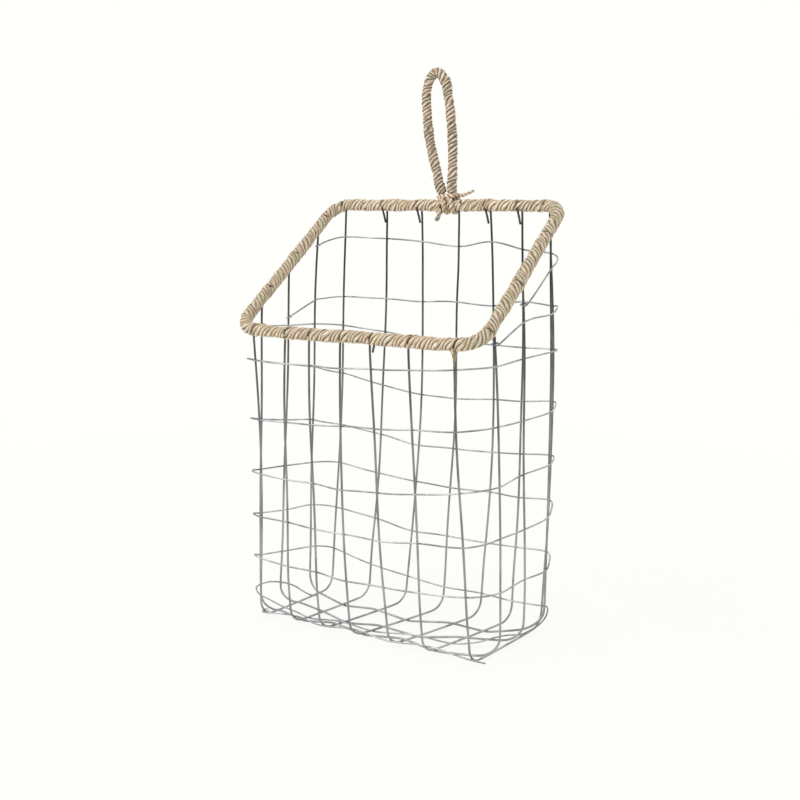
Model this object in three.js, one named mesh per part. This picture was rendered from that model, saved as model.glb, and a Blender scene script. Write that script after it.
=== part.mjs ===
// A hand-woven wire storage basket with a cord-wrapped rim and a hanging loop.
// The rim is a wire ring that slopes down from the back to the front. Ten wires hang from it in
// long U shapes, seven from front to back and three from side to side, and end in hooks round it.
// One thin wire spirals down between them, over one and under the next, and closes the floor.
// Millimetres. X runs along the width, Y from the front to the back, Z up from the floor.
import * as THREE from "three";

// Clearance between pieces that touch.
const CLEARANCE = 0.3;

// The rim, between the centre lines of its runs.
const RIM_WIDTH = 250;
const RIM_DEPTH = 150;
const FRONT_HEIGHT = 278;
const BACK_HEIGHT = 390;
const RIM_CORNER = 20;
const RIM_WIRE = 4;
const RIM_ROPE = 11.2;
const RIM_CURLS = 60;
const RIM_CURL_GAP = 0.7;
const RIM_JOINT_X = -42;
const BUTT_GAP = 0.4;

// The mesh: thick wires that hang from the rim, and the thin wire woven through them.
const MESH_WIRE = 2;
const WEFT_WIRE = 1.5;
const FLOOR_FRONT_Y = -60;
const FLOOR_BACK_Y = 58;
const BACK_SKEW = 8;
const FLOOR_WIDTH = 248;
const BEND_RADIUS = 16;
const LEVEL_RUN = 4.5;

// Places of the hanging wires along the rim, at the middle of the wall and at the floor.
const FRONT_WIRES = [
  [-108, -108, -116],
  [-72, -79, -81],
  [-46, -49, -48],
  [-12, -17, -14],
  [19, 20, 27],
  [57, 59, 63],
  [100, 103, 110],
];
const BACK_WIRES = [
  [-111, -109, -112],
  [-62, -60, -68],
  [-23, -18, -26],
  [18, 20, 15],
  [51, 58, 55],
  [84, 88, 87],
  [112, 118, 117],
];
const LEFT_WIRES = [
  [-40, -46, -50],
  [0, -6, -20],
  [47, 38, 28],
];
const RIGHT_WIRES = [
  [-53, -40, -31],
  [-4, 6, 14],
  [50, 57, 56],
];
// Where each side-to-side wire crosses the floor: at its left end, middle and right end.
const FLOOR_RUNS = [
  [-41, -42, -41],
  [-12, -24, 4],
  [23, 12, 36],
];

// Hooks of the hanging wires round the wrapped rim: how far each one slides along the rim as it
// turns, to the right as seen from outside, and the length of its tail.
const HOOK_SLIDE = 5;
const LEFT_SLIDE = -5;
const RIGHT_SLIDE = 1;
const FRONT_TAIL = 7.5;
const BACK_TAIL = 12;
const LEFT_TAILS = [8, 8, 8];
const RIGHT_TAILS = [4, 8, 8];

// The turns of the woven spiral, as percent of the front's height, at these shares of a turn: the
// left front corner, the left back one, the middle of the back, the two sides of the right back
// corner, the right front corner and the middle of the front. Each turn goes on into the next.
const ROW_SHARES = [0, 0.1875, 0.34, 0.49, 0.525, 0.6875, 0.84];
const SPIRAL_ROWS = [
  [100.5, 98, 94.5, 94, 94, 93, 90],
  [90, 81, 74.5, 77, 74.5, 74.5, 71.5],
  [70, 62.5, 57, 59, 57, 56, 50.5],
  [52, 48, 44, 44, 39.5, 39, 35.5],
  [37, 32, 26.5, 26.5, 21.5, 23, 20],
  [22.5, 16.5, 9, 7.5],
];
const SPIRAL_FOOT = 15;
const WEFT_STEP = 16;
const EDGE_END = 14;
// The short rows near the rim: how far below it each stop is, from the left wall to the right one.
const UPPER_ROW = [19, 34, 31, 32, 34, 38, 33, 39, 42, 47, 35, 25];
const LOWER_ROW = [51, 71, 91, 90, 90, 91, 90, 92, 86, 89, 90, 76, 38, 18];

// The hanging loop and the cord that lashes it to the back of the rim.
const LOOP_X = 5;
const LOOP_HEIGHT = 122;
const LOOP_HALF_WIDTH = 12;
const LOOP_LEAN = THREE.MathUtils.degToRad(9.5);
const LOOP_WIRE = 2.8;
const LOOP_ROPE = 9.2;
const LOOP_CURLS = 24;
const LOOP_CURL_GAP = 1;
const WRAP_FOOT = 24;
const SPLAY_TOP = 56;
const LEG_SPACING = 10;
const COLLAR_FOOT = 12.4;
const COLLAR_PITCH = 4.2;
const COLLAR_TURNS = 2;
const COLLAR_TOP = 24;
const LASHING = 3.6;

const WIRE_SIDES = 6;
const WEFT_SIDES = 5;

const zinc = new THREE.MeshStandardMaterial({ color: 0x75777a, roughness: 0.5, metalness: 0.85 });
const thinZinc = new THREE.MeshStandardMaterial({ color: 0x8b8d90, roughness: 0.5, metalness: 0.85 });
const grass = new THREE.MeshStandardMaterial({ color: 0xc3ae8b, roughness: 0.9, metalness: 0 });
const lashingGrass = new THREE.MeshStandardMaterial({ color: 0xb9a684, roughness: 0.9, metalness: 0 });

const v3 = (x, y, z) => new THREE.Vector3(x, y, z);
const UP = v3(0, 0, 1);
const radians = THREE.MathUtils.degToRad;
const mix = THREE.MathUtils.lerp;

// A path that bends at a list of stations, with the wire's section square to it at each one.
// A hint, where given, is the direction that one pair of the section's flats keeps facing.
class Stations extends THREE.Curve {
  constructor(points, hint) {
    super();
    this.points = points;
    this.hint = hint;
  }

  getSpacedPoints() {
    return this.points;
  }

  getPoint(t) {
    return this.points[Math.round(t * (this.points.length - 1))].clone();
  }

  getTangentAt(t, target = v3(0, 0, 0)) {
    const last = this.points.length - 1;
    const i = Math.round(t * last);
    const before = this.points[Math.max(i - 1, 0)];
    const here = this.points[i];
    const after = this.points[Math.min(i + 1, last)];
    const arriving = here.clone().sub(before).normalize();
    const leaving = after.clone().sub(here).normalize();
    return target.copy(arriving).add(leaving).normalize();
  }

  computeFrenetFrames(segments, closed) {
    if (!this.hint) return super.computeFrenetFrames(segments, closed);
    const tangents = this.points.map((_, i) => this.getTangentAt(i / segments, v3(0, 0, 0)));
    const binormals = tangents.map((t) => this.hint.clone().projectOnPlane(t).normalize());
    const normals = tangents.map((t, i) => binormals[i].clone().cross(t));
    return { tangents, normals, binormals };
  }
}

// The outline of a wire: a regular polygon with a flat facing the path's normal.
function wireSection(diameter, sides) {
  const corners = [];
  for (let i = 0; i < sides; i += 1) {
    const angle = (2 * Math.PI * (i + 0.5)) / sides;
    corners.push(new THREE.Vector2(Math.cos(angle), Math.sin(angle)).multiplyScalar(diameter / 2));
  }
  return new THREE.Shape(corners);
}

function wire(points, diameter, sides, hint) {
  const path = new Stations(points, hint);
  const steps = points.length - 1;
  return new THREE.ExtrudeGeometry(wireSection(diameter, sides), { steps, extrudePath: path });
}

// Adds points between stations that lie far apart, on a smooth curve through all of them.
function smoothed(points, longest) {
  const curve = new THREE.CatmullRomCurve3(points, false, "centripetal");
  const last = points.length - 1;
  const dense = [points[0]];
  for (let i = 0; i < last; i += 1) {
    const count = Math.max(1, Math.round(points[i].distanceTo(points[i + 1]) / longest));
    for (let k = 1; k <= count; k += 1) dense.push(curve.getPoint((i + k / count) / last));
  }
  return dense;
}

// A smooth value through a top, a middle and a foot value, for a share of the height above the foot.
function along(values, share, middleShare = 0.6) {
  const [top, middle, foot] = values;
  const lean = (top - foot) * share + foot;
  const bow = middle - ((top - foot) * middleShare + foot);
  return lean + (bow * share * (1 - share)) / (middleShare * (1 - middleShare));
}

// The rim's plane, tilted about X.
const SLOPE = Math.atan2(BACK_HEIGHT - FRONT_HEIGHT, RIM_DEPTH);
const RIM_CENTRE = v3(0, 0, (FRONT_HEIGHT + BACK_HEIGHT) / 2);
const RIM_LENGTH = RIM_DEPTH / Math.cos(SLOPE);
const ROPE_RADIUS = RIM_ROPE / 2;

function onRimPlane(u, v) {
  return v3(u, v * Math.cos(SLOPE), v * Math.sin(SLOPE)).add(RIM_CENTRE);
}

// The rim's centre line in its own plane, from the joint in the back run round by the left side.
const rimOutline = (() => {
  const u = RIM_WIDTH / 2 - RIM_CORNER;
  const v = RIM_LENGTH / 2 - RIM_CORNER;
  const quarter = Math.PI / 2;
  const joint = new THREE.Vector2(RIM_JOINT_X, RIM_LENGTH / 2);
  const outline = new THREE.CurvePath();
  let end = joint;
  for (const [i, [x, y]] of [[-u, v], [-u, -v], [u, -v], [u, v]].entries()) {
    const from = (i + 1) * quarter;
    const corner = new THREE.EllipseCurve(x, y, RIM_CORNER, RIM_CORNER, from, from + quarter);
    outline.add(new THREE.LineCurve(end, corner.getPoint(0)));
    outline.add(corner);
    end = corner.getPoint(1);
  }
  outline.add(new THREE.LineCurve(end, joint));
  return outline;
})();
const RIM_RUN = rimOutline.getLength();

// A place on the rim's centre line, with the direction square to it in its plane.
function rimAt(distance) {
  const t = THREE.MathUtils.euclideanModulo(distance / RIM_RUN, 1);
  const point = rimOutline.getPoint(t);
  const tangent = rimOutline.getTangent(t);
  const outward = onRimPlane(tangent.y, -tangent.x).sub(RIM_CENTRE);
  return { centre: onRimPlane(point.x, point.y), outward };
}

const rimNormal = v3(0, -Math.sin(SLOPE), Math.cos(SLOPE));

// The rim's wire, one ring with its two ends butted under the cord.
function rimCore() {
  const cornerSteps = 6;
  const outline = [];
  for (const curve of rimOutline.curves) {
    const steps = curve.isLineCurve ? 1 : cornerSteps;
    for (let i = 0; i < steps; i += 1) outline.push(curve.getPoint(i / steps));
  }
  outline.push(rimOutline.getPoint(1));
  const stations = outline.map((p) => onRimPlane(p.x, p.y));
  stations[0].x -= BUTT_GAP / 2;
  stations[stations.length - 1].x += BUTT_GAP / 2;
  return wire(stations, RIM_WIRE, WIRE_SIDES, rimNormal);
}

// A closed skin over a row of rings, each ring a list of points in the same order.
function skin(rings) {
  const sides = rings[0].length;
  const faces = [];
  for (let r = 0; r + 1 < rings.length; r += 1) {
    for (let i = 0; i < sides; i += 1) {
      const a = r * sides + i;
      const b = r * sides + ((i + 1) % sides);
      faces.push(a, b, b + sides, a, b + sides, a + sides);
    }
  }
  const end = (rings.length - 1) * sides;
  for (let i = 1; i + 1 < sides; i += 1) {
    faces.push(0, i + 1, i);
    faces.push(end, end + i, end + i + 1);
  }
  const geometry = new THREE.BufferGeometry();
  const positions = rings.flat().flatMap((p) => [p.x, p.y, p.z]);
  geometry.setAttribute("position", new THREE.Float32BufferAttribute(positions, 3));
  geometry.setIndex(faces);
  return geometry;
}

function middleOf(ring) {
  return ring.reduce((sum, p) => sum.add(p), v3(0, 0, 0)).divideScalar(ring.length);
}

// A cord wound round a core, right-handed where hand is 1 and left-handed where it is -1.
// place(s, angle, radius) gives a point beside the core, s along it. The cord is flattened: it fills
// the pitch but for a gap, and domes on its outer side.
const CURL_STEPS = 8;
const SHOULDER = 0.68;
function winding({ length, curls, gap, coreRadius, ropeRadius, hand, firstAngle, closed, place }) {
  const pitch = length / (closed ? curls : curls + 1);
  const inner = (coreRadius + CLEARANCE) / Math.cos(Math.PI / CURL_STEPS);
  const shoulder = mix(inner, ropeRadius, SHOULDER);
  const half = (pitch - gap) / 2;
  // Round the outside of a bend the cord's flat inner face is lifted clear of the core.
  const innerAt = (s, angle) => {
    const middle = place(s - half, angle, inner).lerp(place(s + half, angle, inner), 0.5);
    return inner + Math.max(0, inner - middle.distanceTo(place(s, angle, 0)));
  };
  const section = (s, angle) => {
    const lifted = innerAt(s, angle);
    const outline = [
      [-half, lifted],
      [half, lifted],
      [half, shoulder],
      [0, ropeRadius],
      [-half, shoulder],
    ];
    if (hand < 0) outline.reverse();
    return outline.map(([a, radius]) => place(s + a, angle, radius));
  };
  const short = closed ? gap / (2 * Math.PI * inner) : 0;
  const steps = curls * CURL_STEPS;
  const rings = [];
  for (let k = 0; k <= steps; k += 1) {
    const turn = short / 2 + (k / steps) * (curls - short);
    const angle = firstAngle + hand * 2 * Math.PI * turn;
    rings.push(section(pitch * turn + (closed ? 0 : pitch / 2), angle));
  }
  return { rings, thickness: ropeRadius - inner };
}

// Runs both ends of a winding straight on for the thickness of its cord.
function straightEnds(rings, thickness) {
  const run = (from, to) => {
    const step = middleOf(to).sub(middleOf(from)).normalize().multiplyScalar(thickness);
    return to.map((p) => p.clone().add(step));
  };
  const last = rings.length - 1;
  return [run(rings[1], rings[0]), ...rings, run(rings[last - 1], rings[last])];
}

// The least distance from the points of a tube's rings to its own skin some rings further on.
function leastGap(rings, nearest, farthest, closed) {
  const last = rings.length - 1;
  const sides = rings[0].length;
  const face = new THREE.Triangle();
  const closest = v3(0, 0, 0);
  let least = closed ? Math.min(...rings[0].map((p, i) => p.distanceTo(rings[last][i]))) : Infinity;
  for (let k = 0; k <= last; k += 1) {
    for (let ahead = nearest; ahead <= farthest; ahead += 1) {
      if (k + ahead >= last && !closed) break;
      const m = (k + ahead) % last;
      for (let i = 0; i < sides; i += 1) {
        const j = (i + 1) % sides;
        const corners = [rings[m][i], rings[m][j], rings[m + 1][j], rings[m + 1][i]];
        for (const p of rings[k]) {
          face.set(corners[0], corners[1], corners[2]).closestPointToPoint(p, closest);
          least = Math.min(least, closest.distanceTo(p));
          face.set(corners[0], corners[2], corners[3]).closestPointToPoint(p, closest);
          least = Math.min(least, closest.distanceTo(p));
        }
      }
    }
  }
  return least;
}

// The cord round the rim: a left-handed winding whose two ends butt under the back run.
function rimWrap() {
  const place = (s, angle, radius) => {
    const { centre, outward } = rimAt(s);
    const across = outward.multiplyScalar(Math.cos(angle) * radius);
    return centre.add(across).addScaledVector(rimNormal, -Math.sin(angle) * radius);
  };
  const { rings } = winding({
    length: RIM_RUN,
    curls: RIM_CURLS,
    gap: RIM_CURL_GAP,
    coreRadius: RIM_WIRE / 2,
    ropeRadius: ROPE_RADIUS,
    hand: -1,
    firstAngle: Math.PI / 2,
    closed: true,
    place,
  });
  const gap = leastGap(rings, CURL_STEPS - 1, CURL_STEPS + 1, true);
  console.log("rim_wrap: least gap to itself", gap.toFixed(2), "mm");
  return skin(rings);
}

// A wire of the mesh hangs from a hook round the rim's rope. The hook is drawn in the upright plane
// square to the wall: angle 0 points out of the basket, 90 degrees up.
const HOOK_FIRST = -50;
const HOOK_LAST = 180;
const HOOK_STEPS = 6;
const HOOK_STEP = radians((HOOK_LAST - HOOK_FIRST) / HOOK_STEPS);
const HOOK_RADIUS = (ROPE_RADIUS + CLEARANCE + MESH_WIRE / 2) / Math.cos(HOOK_STEP / 2);
const HOOK_STEM = 15;
const LIFT = MESH_WIRE / 2;

// A place on the rim by its x on the front or back run, or by its y on a side run. along gives the
// place some way further along, to the right as seen from outside.
function rimPlaceByX(x, back) {
  const inset = Math.max(0, Math.abs(x) - (RIM_WIDTH / 2 - RIM_CORNER));
  const turn = Math.asin(inset / RIM_CORNER) * Math.sign(x);
  const v = RIM_LENGTH / 2 - RIM_CORNER * (1 - Math.cos(turn));
  const side = back ? 1 : -1;
  return {
    centre: onRimPlane(x, side * v),
    outward: v3(Math.sin(turn), side * Math.cos(turn), 0),
    tangent: onRimPlane(-side * Math.cos(turn), Math.sin(turn)).sub(RIM_CENTRE),
    onward: (way) => rimPlaceByX(x - side * way, back),
  };
}

function rimPlaceByY(y, right) {
  const side = right ? 1 : -1;
  return {
    centre: onRimPlane((side * RIM_WIDTH) / 2, y / Math.cos(SLOPE)),
    outward: v3(side, 0, 0),
    tangent: onRimPlane(0, side).sub(RIM_CENTRE),
    onward: (way) => rimPlaceByY(y + side * way * Math.cos(SLOPE), right),
  };
}

// Stations of a hook from its free tail to its stem. The wire comes up outside, goes over the rim
// and down inside, and slides along the rim as it turns.
function hookStations(place, slide, tail) {
  const at = (degrees, radius, share) => {
    const { centre, outward, tangent } = place.onward(share * slide);
    const direction = outward.clone().multiplyScalar(Math.cos(radians(degrees)));
    direction.addScaledVector(UP, Math.sin(radians(degrees)));
    const stretch = 1 / Math.sqrt(1 - direction.dot(tangent) ** 2) - 1;
    return centre.clone().addScaledVector(direction, radius + HOOK_RADIUS * stretch);
  };
  const inside = at(219, HOOK_RADIUS + 2.1 * LIFT, 1);
  const tailEnd = inside.clone().addScaledVector(UP, -0.95 * tail);
  tailEnd.addScaledVector(place.outward, 0.3 * tail).addScaledVector(place.tangent, -0.03 * tail * slide);
  const stations = [tailEnd, inside];
  for (let i = HOOK_STEPS; i >= 0; i -= 1) {
    stations.push(at(mix(HOOK_FIRST, HOOK_LAST, i / HOOK_STEPS), HOOK_RADIUS, i / HOOK_STEPS));
  }
  return [...stations, at(-72, HOOK_RADIUS + LIFT, 0), at(-85, HOOK_RADIUS + 3.7 * LIFT, 0)];
}

// Levels on the floor: the side-to-side wires dip under and climb over the front-to-back ones.
const FLAT = Math.cos(Math.PI / WIRE_SIDES);
const CROSSING = MESH_WIRE + CLEARANCE;
const WEFT_OFFSET = MESH_WIRE / 2 + WEFT_WIRE / 2 + CLEARANCE;
const UNDER_Z = (MESH_WIRE / 2) * FLAT;
const FLOOR_Z = UNDER_Z + CROSSING;
const OVER_Z = FLOOR_Z + CROSSING;
const HALF_FLOOR = FLOOR_WIDTH / 2;

function backFootY(x) {
  return FLOOR_BACK_Y + (BACK_SKEW * x) / HALF_FLOOR;
}

// An upright post: a wall's wire between its hook and the floor. at(z) is its centre line.
function post(place, foot, values, lengthwise, middleShare) {
  const top = place.centre;
  const at = (z) => {
    const share = (z - foot.z) / (top.z - foot.z);
    const point = foot.clone().lerp(top, share);
    const run = along(values, share, middleShare);
    return lengthwise ? point.setX(run) : point.setY(run);
  };
  return { place, foot, at, middle: values[1] };
}

const frontPosts = FRONT_WIRES.map((values) => {
  const foot = v3(values[2], FLOOR_FRONT_Y, FLOOR_Z + BEND_RADIUS);
  return { ...post(rimPlaceByX(values[0], false), foot, values, true, 0.5), outward: v3(0, -1, 0) };
});
const backPosts = BACK_WIRES.map((values) => {
  const foot = v3(values[2], backFootY(values[2]), FLOOR_Z + BEND_RADIUS);
  return { ...post(rimPlaceByX(values[0], true), foot, values, true, 0.75), outward: v3(0, 1, 0) };
});
const leftPosts = LEFT_WIRES.map((values) => {
  const foot = v3(-HALF_FLOOR, values[2], OVER_Z + BEND_RADIUS);
  return { ...post(rimPlaceByY(values[0], false), foot, values, false, 0.6), outward: v3(-1, 0, 0) };
});
const rightPosts = RIGHT_WIRES.map((values) => {
  const foot = v3(HALF_FLOOR, values[2], OVER_Z + BEND_RADIUS);
  return { ...post(rimPlaceByY(values[0], true), foot, values, false, 0.6), outward: v3(1, 0, 0) };
});

// From the tail of a post's hook down to its foot.
const WALL_STEPS = 4;
function wallStations(hung, slide, tail) {
  const highest = hung.place.centre.z - HOOK_STEM;
  const stations = [];
  for (let i = 0; i <= WALL_STEPS; i += 1) {
    stations.push(hung.at(mix(highest, hung.foot.z, i / WALL_STEPS)));
  }
  return [...hookStations(hung.place, slide, tail), ...stations];
}

// A quarter bend from an upright foot to the end of a run on the floor.
const BEND_STEPS = 4;
function bendStations(foot, floorEnd) {
  const stations = [];
  for (let i = 1; i <= BEND_STEPS; i += 1) {
    const angle = (Math.PI / 2) * (i / BEND_STEPS);
    const station = foot.clone().lerp(floorEnd, 1 - Math.cos(angle));
    stations.push(station.setZ(mix(foot.z, floorEnd.z, Math.sin(angle))));
  }
  return stations;
}

// Where a front-to-back wire lies at a distance y from front to back on the floor.
function longWireX(index, y) {
  const front = frontPosts[index].foot;
  const back = backPosts[index].foot;
  return mix(front.x, back.x, (y - front.y) / (back.y - front.y));
}

// A front-to-back wire: hook, front wall, floor, back wall, hook. The back hook beside the lashing
// slides the other way, clear of it.
const LASHED_WIRE = 3;
function longWire(index) {
  const front = frontPosts[index];
  const back = backPosts[index];
  const nearY = front.foot.y + BEND_RADIUS;
  const farY = back.foot.y - BEND_RADIUS;
  const backSlide = index === LASHED_WIRE ? -HOOK_SLIDE : HOOK_SLIDE;
  const rear = [
    ...wallStations(back, backSlide, BACK_TAIL),
    ...bendStations(back.foot, v3(longWireX(index, farY), farY, FLOOR_Z)),
  ];
  const stations = [
    ...wallStations(front, HOOK_SLIDE, FRONT_TAIL),
    ...bendStations(front.foot, v3(longWireX(index, nearY), nearY, FLOOR_Z)),
    ...rear.reverse(),
  ];
  return wire(stations, MESH_WIRE, WIRE_SIDES, v3(1, 0, 0));
}

// Where a side-to-side wire lies on the floor.
const FLOOR_REACH = HALF_FLOOR - BEND_RADIUS;
function floorRunY(row, x) {
  const [left, middle, right] = FLOOR_RUNS[row];
  const share = x / FLOOR_REACH;
  return middle + ((right - left) / 2) * share + ((right + left) / 2 - middle) * share * share;
}

// The place where a side-to-side wire crosses a front-to-back one.
function crossingX(row, index) {
  let x = longWireX(index, 0);
  for (let i = 0; i < 6; i += 1) x = longWireX(index, floorRunY(row, x));
  return x;
}

// A side-to-side wire: hook, left wall, floor, right wall, hook. It climbs over the outermost wires
// and lies level for a short way where it passes another.
function crossWire(row) {
  const floor = [];
  for (let index = 1; index + 1 < FRONT_WIRES.length; index += 1) {
    const x = crossingX(row, index);
    const z = (index + row) % 2 === 0 ? OVER_Z : UNDER_Z;
    for (const share of [-0.5, -0.27, 0.27, 0.5]) {
      const levelX = x + share * LEVEL_RUN;
      floor.push(v3(levelX, floorRunY(row, levelX), z));
    }
  }
  const left = leftPosts[row];
  const right = rightPosts[row];
  const rightSide = [
    ...wallStations(right, RIGHT_SLIDE, RIGHT_TAILS[row]),
    ...bendStations(right.foot, v3(FLOOR_REACH, floorRunY(row, FLOOR_REACH), OVER_Z)),
  ];
  const stations = [
    ...wallStations(left, LEFT_SLIDE, LEFT_TAILS[row]),
    ...bendStations(left.foot, v3(-FLOOR_REACH, floorRunY(row, -FLOOR_REACH), OVER_Z)),
    ...floor,
    ...rightSide.reverse(),
  ];
  return wire(stations, MESH_WIRE, WIRE_SIDES, v3(0, 1, 0));
}

// The woven wire passes a post outside it, where side is 1, or inside it, where side is -1.
function pass(hung, z, side) {
  return hung.at(z).addScaledVector(hung.outward, side * WEFT_OFFSET);
}

// The end of a woven wire curled most of a turn round a wire. centreAt(share) is that wire's centre
// line, outward points to where the curl leaves it and ahead the way the curl sets out.
const CURL_DEGREES = 300;
const END_STEPS = 5;
function curl(centreAt, outward, ahead) {
  const radius = WEFT_OFFSET / Math.cos(radians(CURL_DEGREES / END_STEPS / 2));
  const stations = [];
  for (let k = 1; k <= END_STEPS; k += 1) {
    const angle = radians((CURL_DEGREES * k) / END_STEPS);
    const round = outward.clone().multiplyScalar(Math.cos(angle) * radius);
    round.addScaledVector(ahead, Math.sin(angle) * radius);
    stations.push(centreAt(k / END_STEPS).add(round));
  }
  return stations;
}

const CURL_RISE = WEFT_WIRE + 2 * CLEARANCE;
function curlRound(hung, z, ahead) {
  return curl((share) => hung.at(z + share * CURL_RISE), hung.outward, ahead);
}

// The stops of one turn of the woven wire, the posts and the four corners, from the left front
// corner round by the back, and the share of the turn at which each one stands.
const TURN = 2 * (RIM_WIDTH + RIM_DEPTH);
const HALF_WIDTH = RIM_WIDTH / 2;
const HALF_DEPTH = RIM_DEPTH / 2;
const LEFT_END = RIM_DEPTH / TURN;
const BACK_END = 0.5;
const RIGHT_END = 0.5 + RIM_DEPTH / TURN;
const roundTrip = [
  ...leftPosts.map((hung) => ({ hung, share: (hung.middle + HALF_DEPTH) / TURN })),
  { share: LEFT_END },
  ...backPosts.map((hung) => ({ hung, share: LEFT_END + (hung.middle + HALF_WIDTH) / TURN })),
  { share: BACK_END },
  ...rightPosts.toReversed().map((hung) => ({ hung, share: BACK_END + (HALF_DEPTH - hung.middle) / TURN })),
  { share: RIGHT_END },
  ...frontPosts.toReversed().map((hung) => ({ hung, share: RIGHT_END + (HALF_WIDTH - hung.middle) / TURN })),
  { share: 1 },
];

// The woven wire stays outside the two posts at the left front corner and at the right back one.
// Elsewhere it changes sides from post to post and from turn to turn.
const alwaysOutside = [leftPosts[0], backPosts.at(-1), rightPosts.at(-1), frontPosts[0]];
const order = roundTrip.filter((stop) => stop.hung).map((stop) => stop.hung);
function sideOf({ hung }, turn) {
  const even = (order.indexOf(hung) + turn) % 2 === 0;
  return even || alwaysOutside.includes(hung) ? 1 : -1;
}

// The woven wire's way through a row of stops, each with its height. It leaves the last post of a
// wall along that wall and comes to the first post of the next wall along that one.
function wovenStations(visits) {
  const passes = visits.map(({ hung, z, side }) => hung && pass(hung, z, side));
  return visits.flatMap(({ z }, i) => {
    if (passes[i]) return [passes[i]];
    const [from, to] = [passes[i - 1], passes[i + 1]];
    const fromSideWall = visits[i - 1].hung.outward.y === 0;
    const [x, y] = fromSideWall ? [from.x, to.y] : [to.x, from.y];
    const round = new THREE.QuadraticBezierCurve3(from, v3(x, y, 2 * z - (from.z + to.z) / 2), to);
    return [0.25, 0.5, 0.75].map((t) => round.getPoint(t));
  });
}

// The spiral's height after a number of turns.
const rowLevels = SPIRAL_ROWS.flatMap((row, turn) => {
  return row.map((percent, i) => ({ turns: turn + ROW_SHARES[i], z: (percent / 100) * FRONT_HEIGHT }));
});
function rowHeight(turns) {
  const found = rowLevels.findIndex((level) => level.turns > turns);
  const next = found < 0 ? rowLevels.length - 1 : found;
  const [before, after] = [rowLevels[next - 1], rowLevels[next]];
  return mix(before.z, after.z, Math.min(1, (turns - before.turns) / (after.turns - before.turns)));
}

// The thin wire's way over and under the front-to-back wires as it crosses the floor.
function floorPass(index, y, side) {
  return v3(longWireX(index, y), y, FLOOR_Z + side * WEFT_OFFSET);
}

// The spiral: curled round the first left post, down and round to the back right corner of the
// last turn, then in across the floor, out at the front left corner and back along the left wall.
function spiralWeft() {
  const first = roundTrip[0];
  const stations = curlRound(first.hung, rowHeight(first.share), v3(0, -1, 0)).reverse();
  const visits = SPIRAL_ROWS.flatMap((_, turn) => {
    return roundTrip.map((stop) => {
      return { hung: stop.hung, z: rowHeight(turn + stop.share), side: sideOf(stop, turn) };
    });
  });
  const wholeTurns = SPIRAL_ROWS.length - 1;
  const lastCorner = wholeTurns * roundTrip.length + roundTrip.findIndex((stop) => stop.share === BACK_END);
  const lastPost = { hung: rightPosts.at(-1), z: SPIRAL_FOOT, side: 1 };
  stations.push(...wovenStations([...visits.slice(0, lastCorner + 1), lastPost]));
  const overWire = FLOOR_Z + WEFT_OFFSET;
  stations.push(
    v3(HALF_FLOOR + 1, 42, 11),
    v3(HALF_FLOOR - 4, 33, overWire + 2.5),
    floorPass(6, 27, 1),
    v3(107, 18, overWire + 0.6),
    v3(101, floorRunY(1, 101), OVER_Z + WEFT_OFFSET),
    v3(92, -10, FLOOR_Z + 1.5),
    floorPass(5, -18, -1),
    floorPass(4, -27, 1),
    floorPass(3, -31, -1),
    floorPass(2, -34, 1),
    floorPass(1, -34, -1),
    v3(-93, -34, FLOOR_Z + 1),
    v3(-106, -41, 10),
    v3(-114, -49, 17),
    v3(-121, -57, 24),
    v3(-HALF_FLOOR - 3.2, -53, 28),
    v3(-HALF_FLOOR - WEFT_OFFSET, -38, 29.5),
    pass(leftPosts[1], 25, -1),
    v3(-HALF_FLOOR + 1.5, 2, 15),
    v3(-119, 9, 9),
    floorPass(0, 14, 1),
    v3(-106, 17, FLOOR_Z + 1),
  );
  return wire(smoothed(stations, WEFT_STEP), WEFT_WIRE, WEFT_SIDES);
}

// A short woven row near the rim, curled round a post at each end. drops are those of its stops
// below the rim.
function topRow(drops, firstStop, turn) {
  const visits = roundTrip.slice(firstStop, firstStop + drops.length).map((stop, i) => {
    const top = stop.hung ? stop.hung.place.centre.z : BACK_HEIGHT;
    const isEnd = i === 0 || i === drops.length - 1;
    return { hung: stop.hung, z: top - drops[i], side: isEnd ? 1 : sideOf(stop, turn) };
  });
  const [start, end] = [visits[0], visits.at(-1)].map(({ hung, z }) => curlRound(hung, z, v3(0, -1, 0)));
  const stations = [...start.reverse(), ...wovenStations(visits), ...end];
  return wire(smoothed(stations, WEFT_STEP), WEFT_WIRE, WEFT_SIDES);
}

// The loose wire along the front's lower edge, woven through the bends of the front wires.
function bottomEdgeWire() {
  const bend = Math.PI / 4;
  const outward = v3(0, -Math.cos(bend), -Math.sin(bend));
  const down = v3(0, Math.sin(bend), -Math.cos(bend));
  const middle = frontPosts.map(({ foot }) => {
    const centre = foot.clone().add(v3(0, BEND_RADIUS, 0));
    return centre.addScaledVector(outward, BEND_RADIUS);
  });
  const leftBend = (share) => middle[0].clone().addScaledVector(down, share * CURL_RISE);
  const start = curl(leftBend, outward, v3(-1, 0, 0));
  const stations = middle.map((centre, i) => {
    return centre.clone().addScaledVector(outward, (i % 2 === 0 ? 1 : -1) * WEFT_OFFSET);
  });
  const end = stations.at(-1).clone().add(v3(EDGE_END, 0, 0));
  return wire(smoothed([...start.reverse(), ...stations, end], WEFT_STEP), WEFT_WIRE, WEFT_SIDES);
}

// The hanging loop stands over the back run of the rim. across is measured from its middle and
// height from the rim's centre line; above the collar it leans to the left.
const LOOP_BASE = rimPlaceByX(LOOP_X, true).centre;
function onLoop(across, height) {
  const lean = Math.max(0, height - COLLAR_TOP) * Math.tan(LOOP_LEAN);
  return v3(LOOP_BASE.x + across - lean, LOOP_BASE.y, LOOP_BASE.z + height);
}

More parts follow.
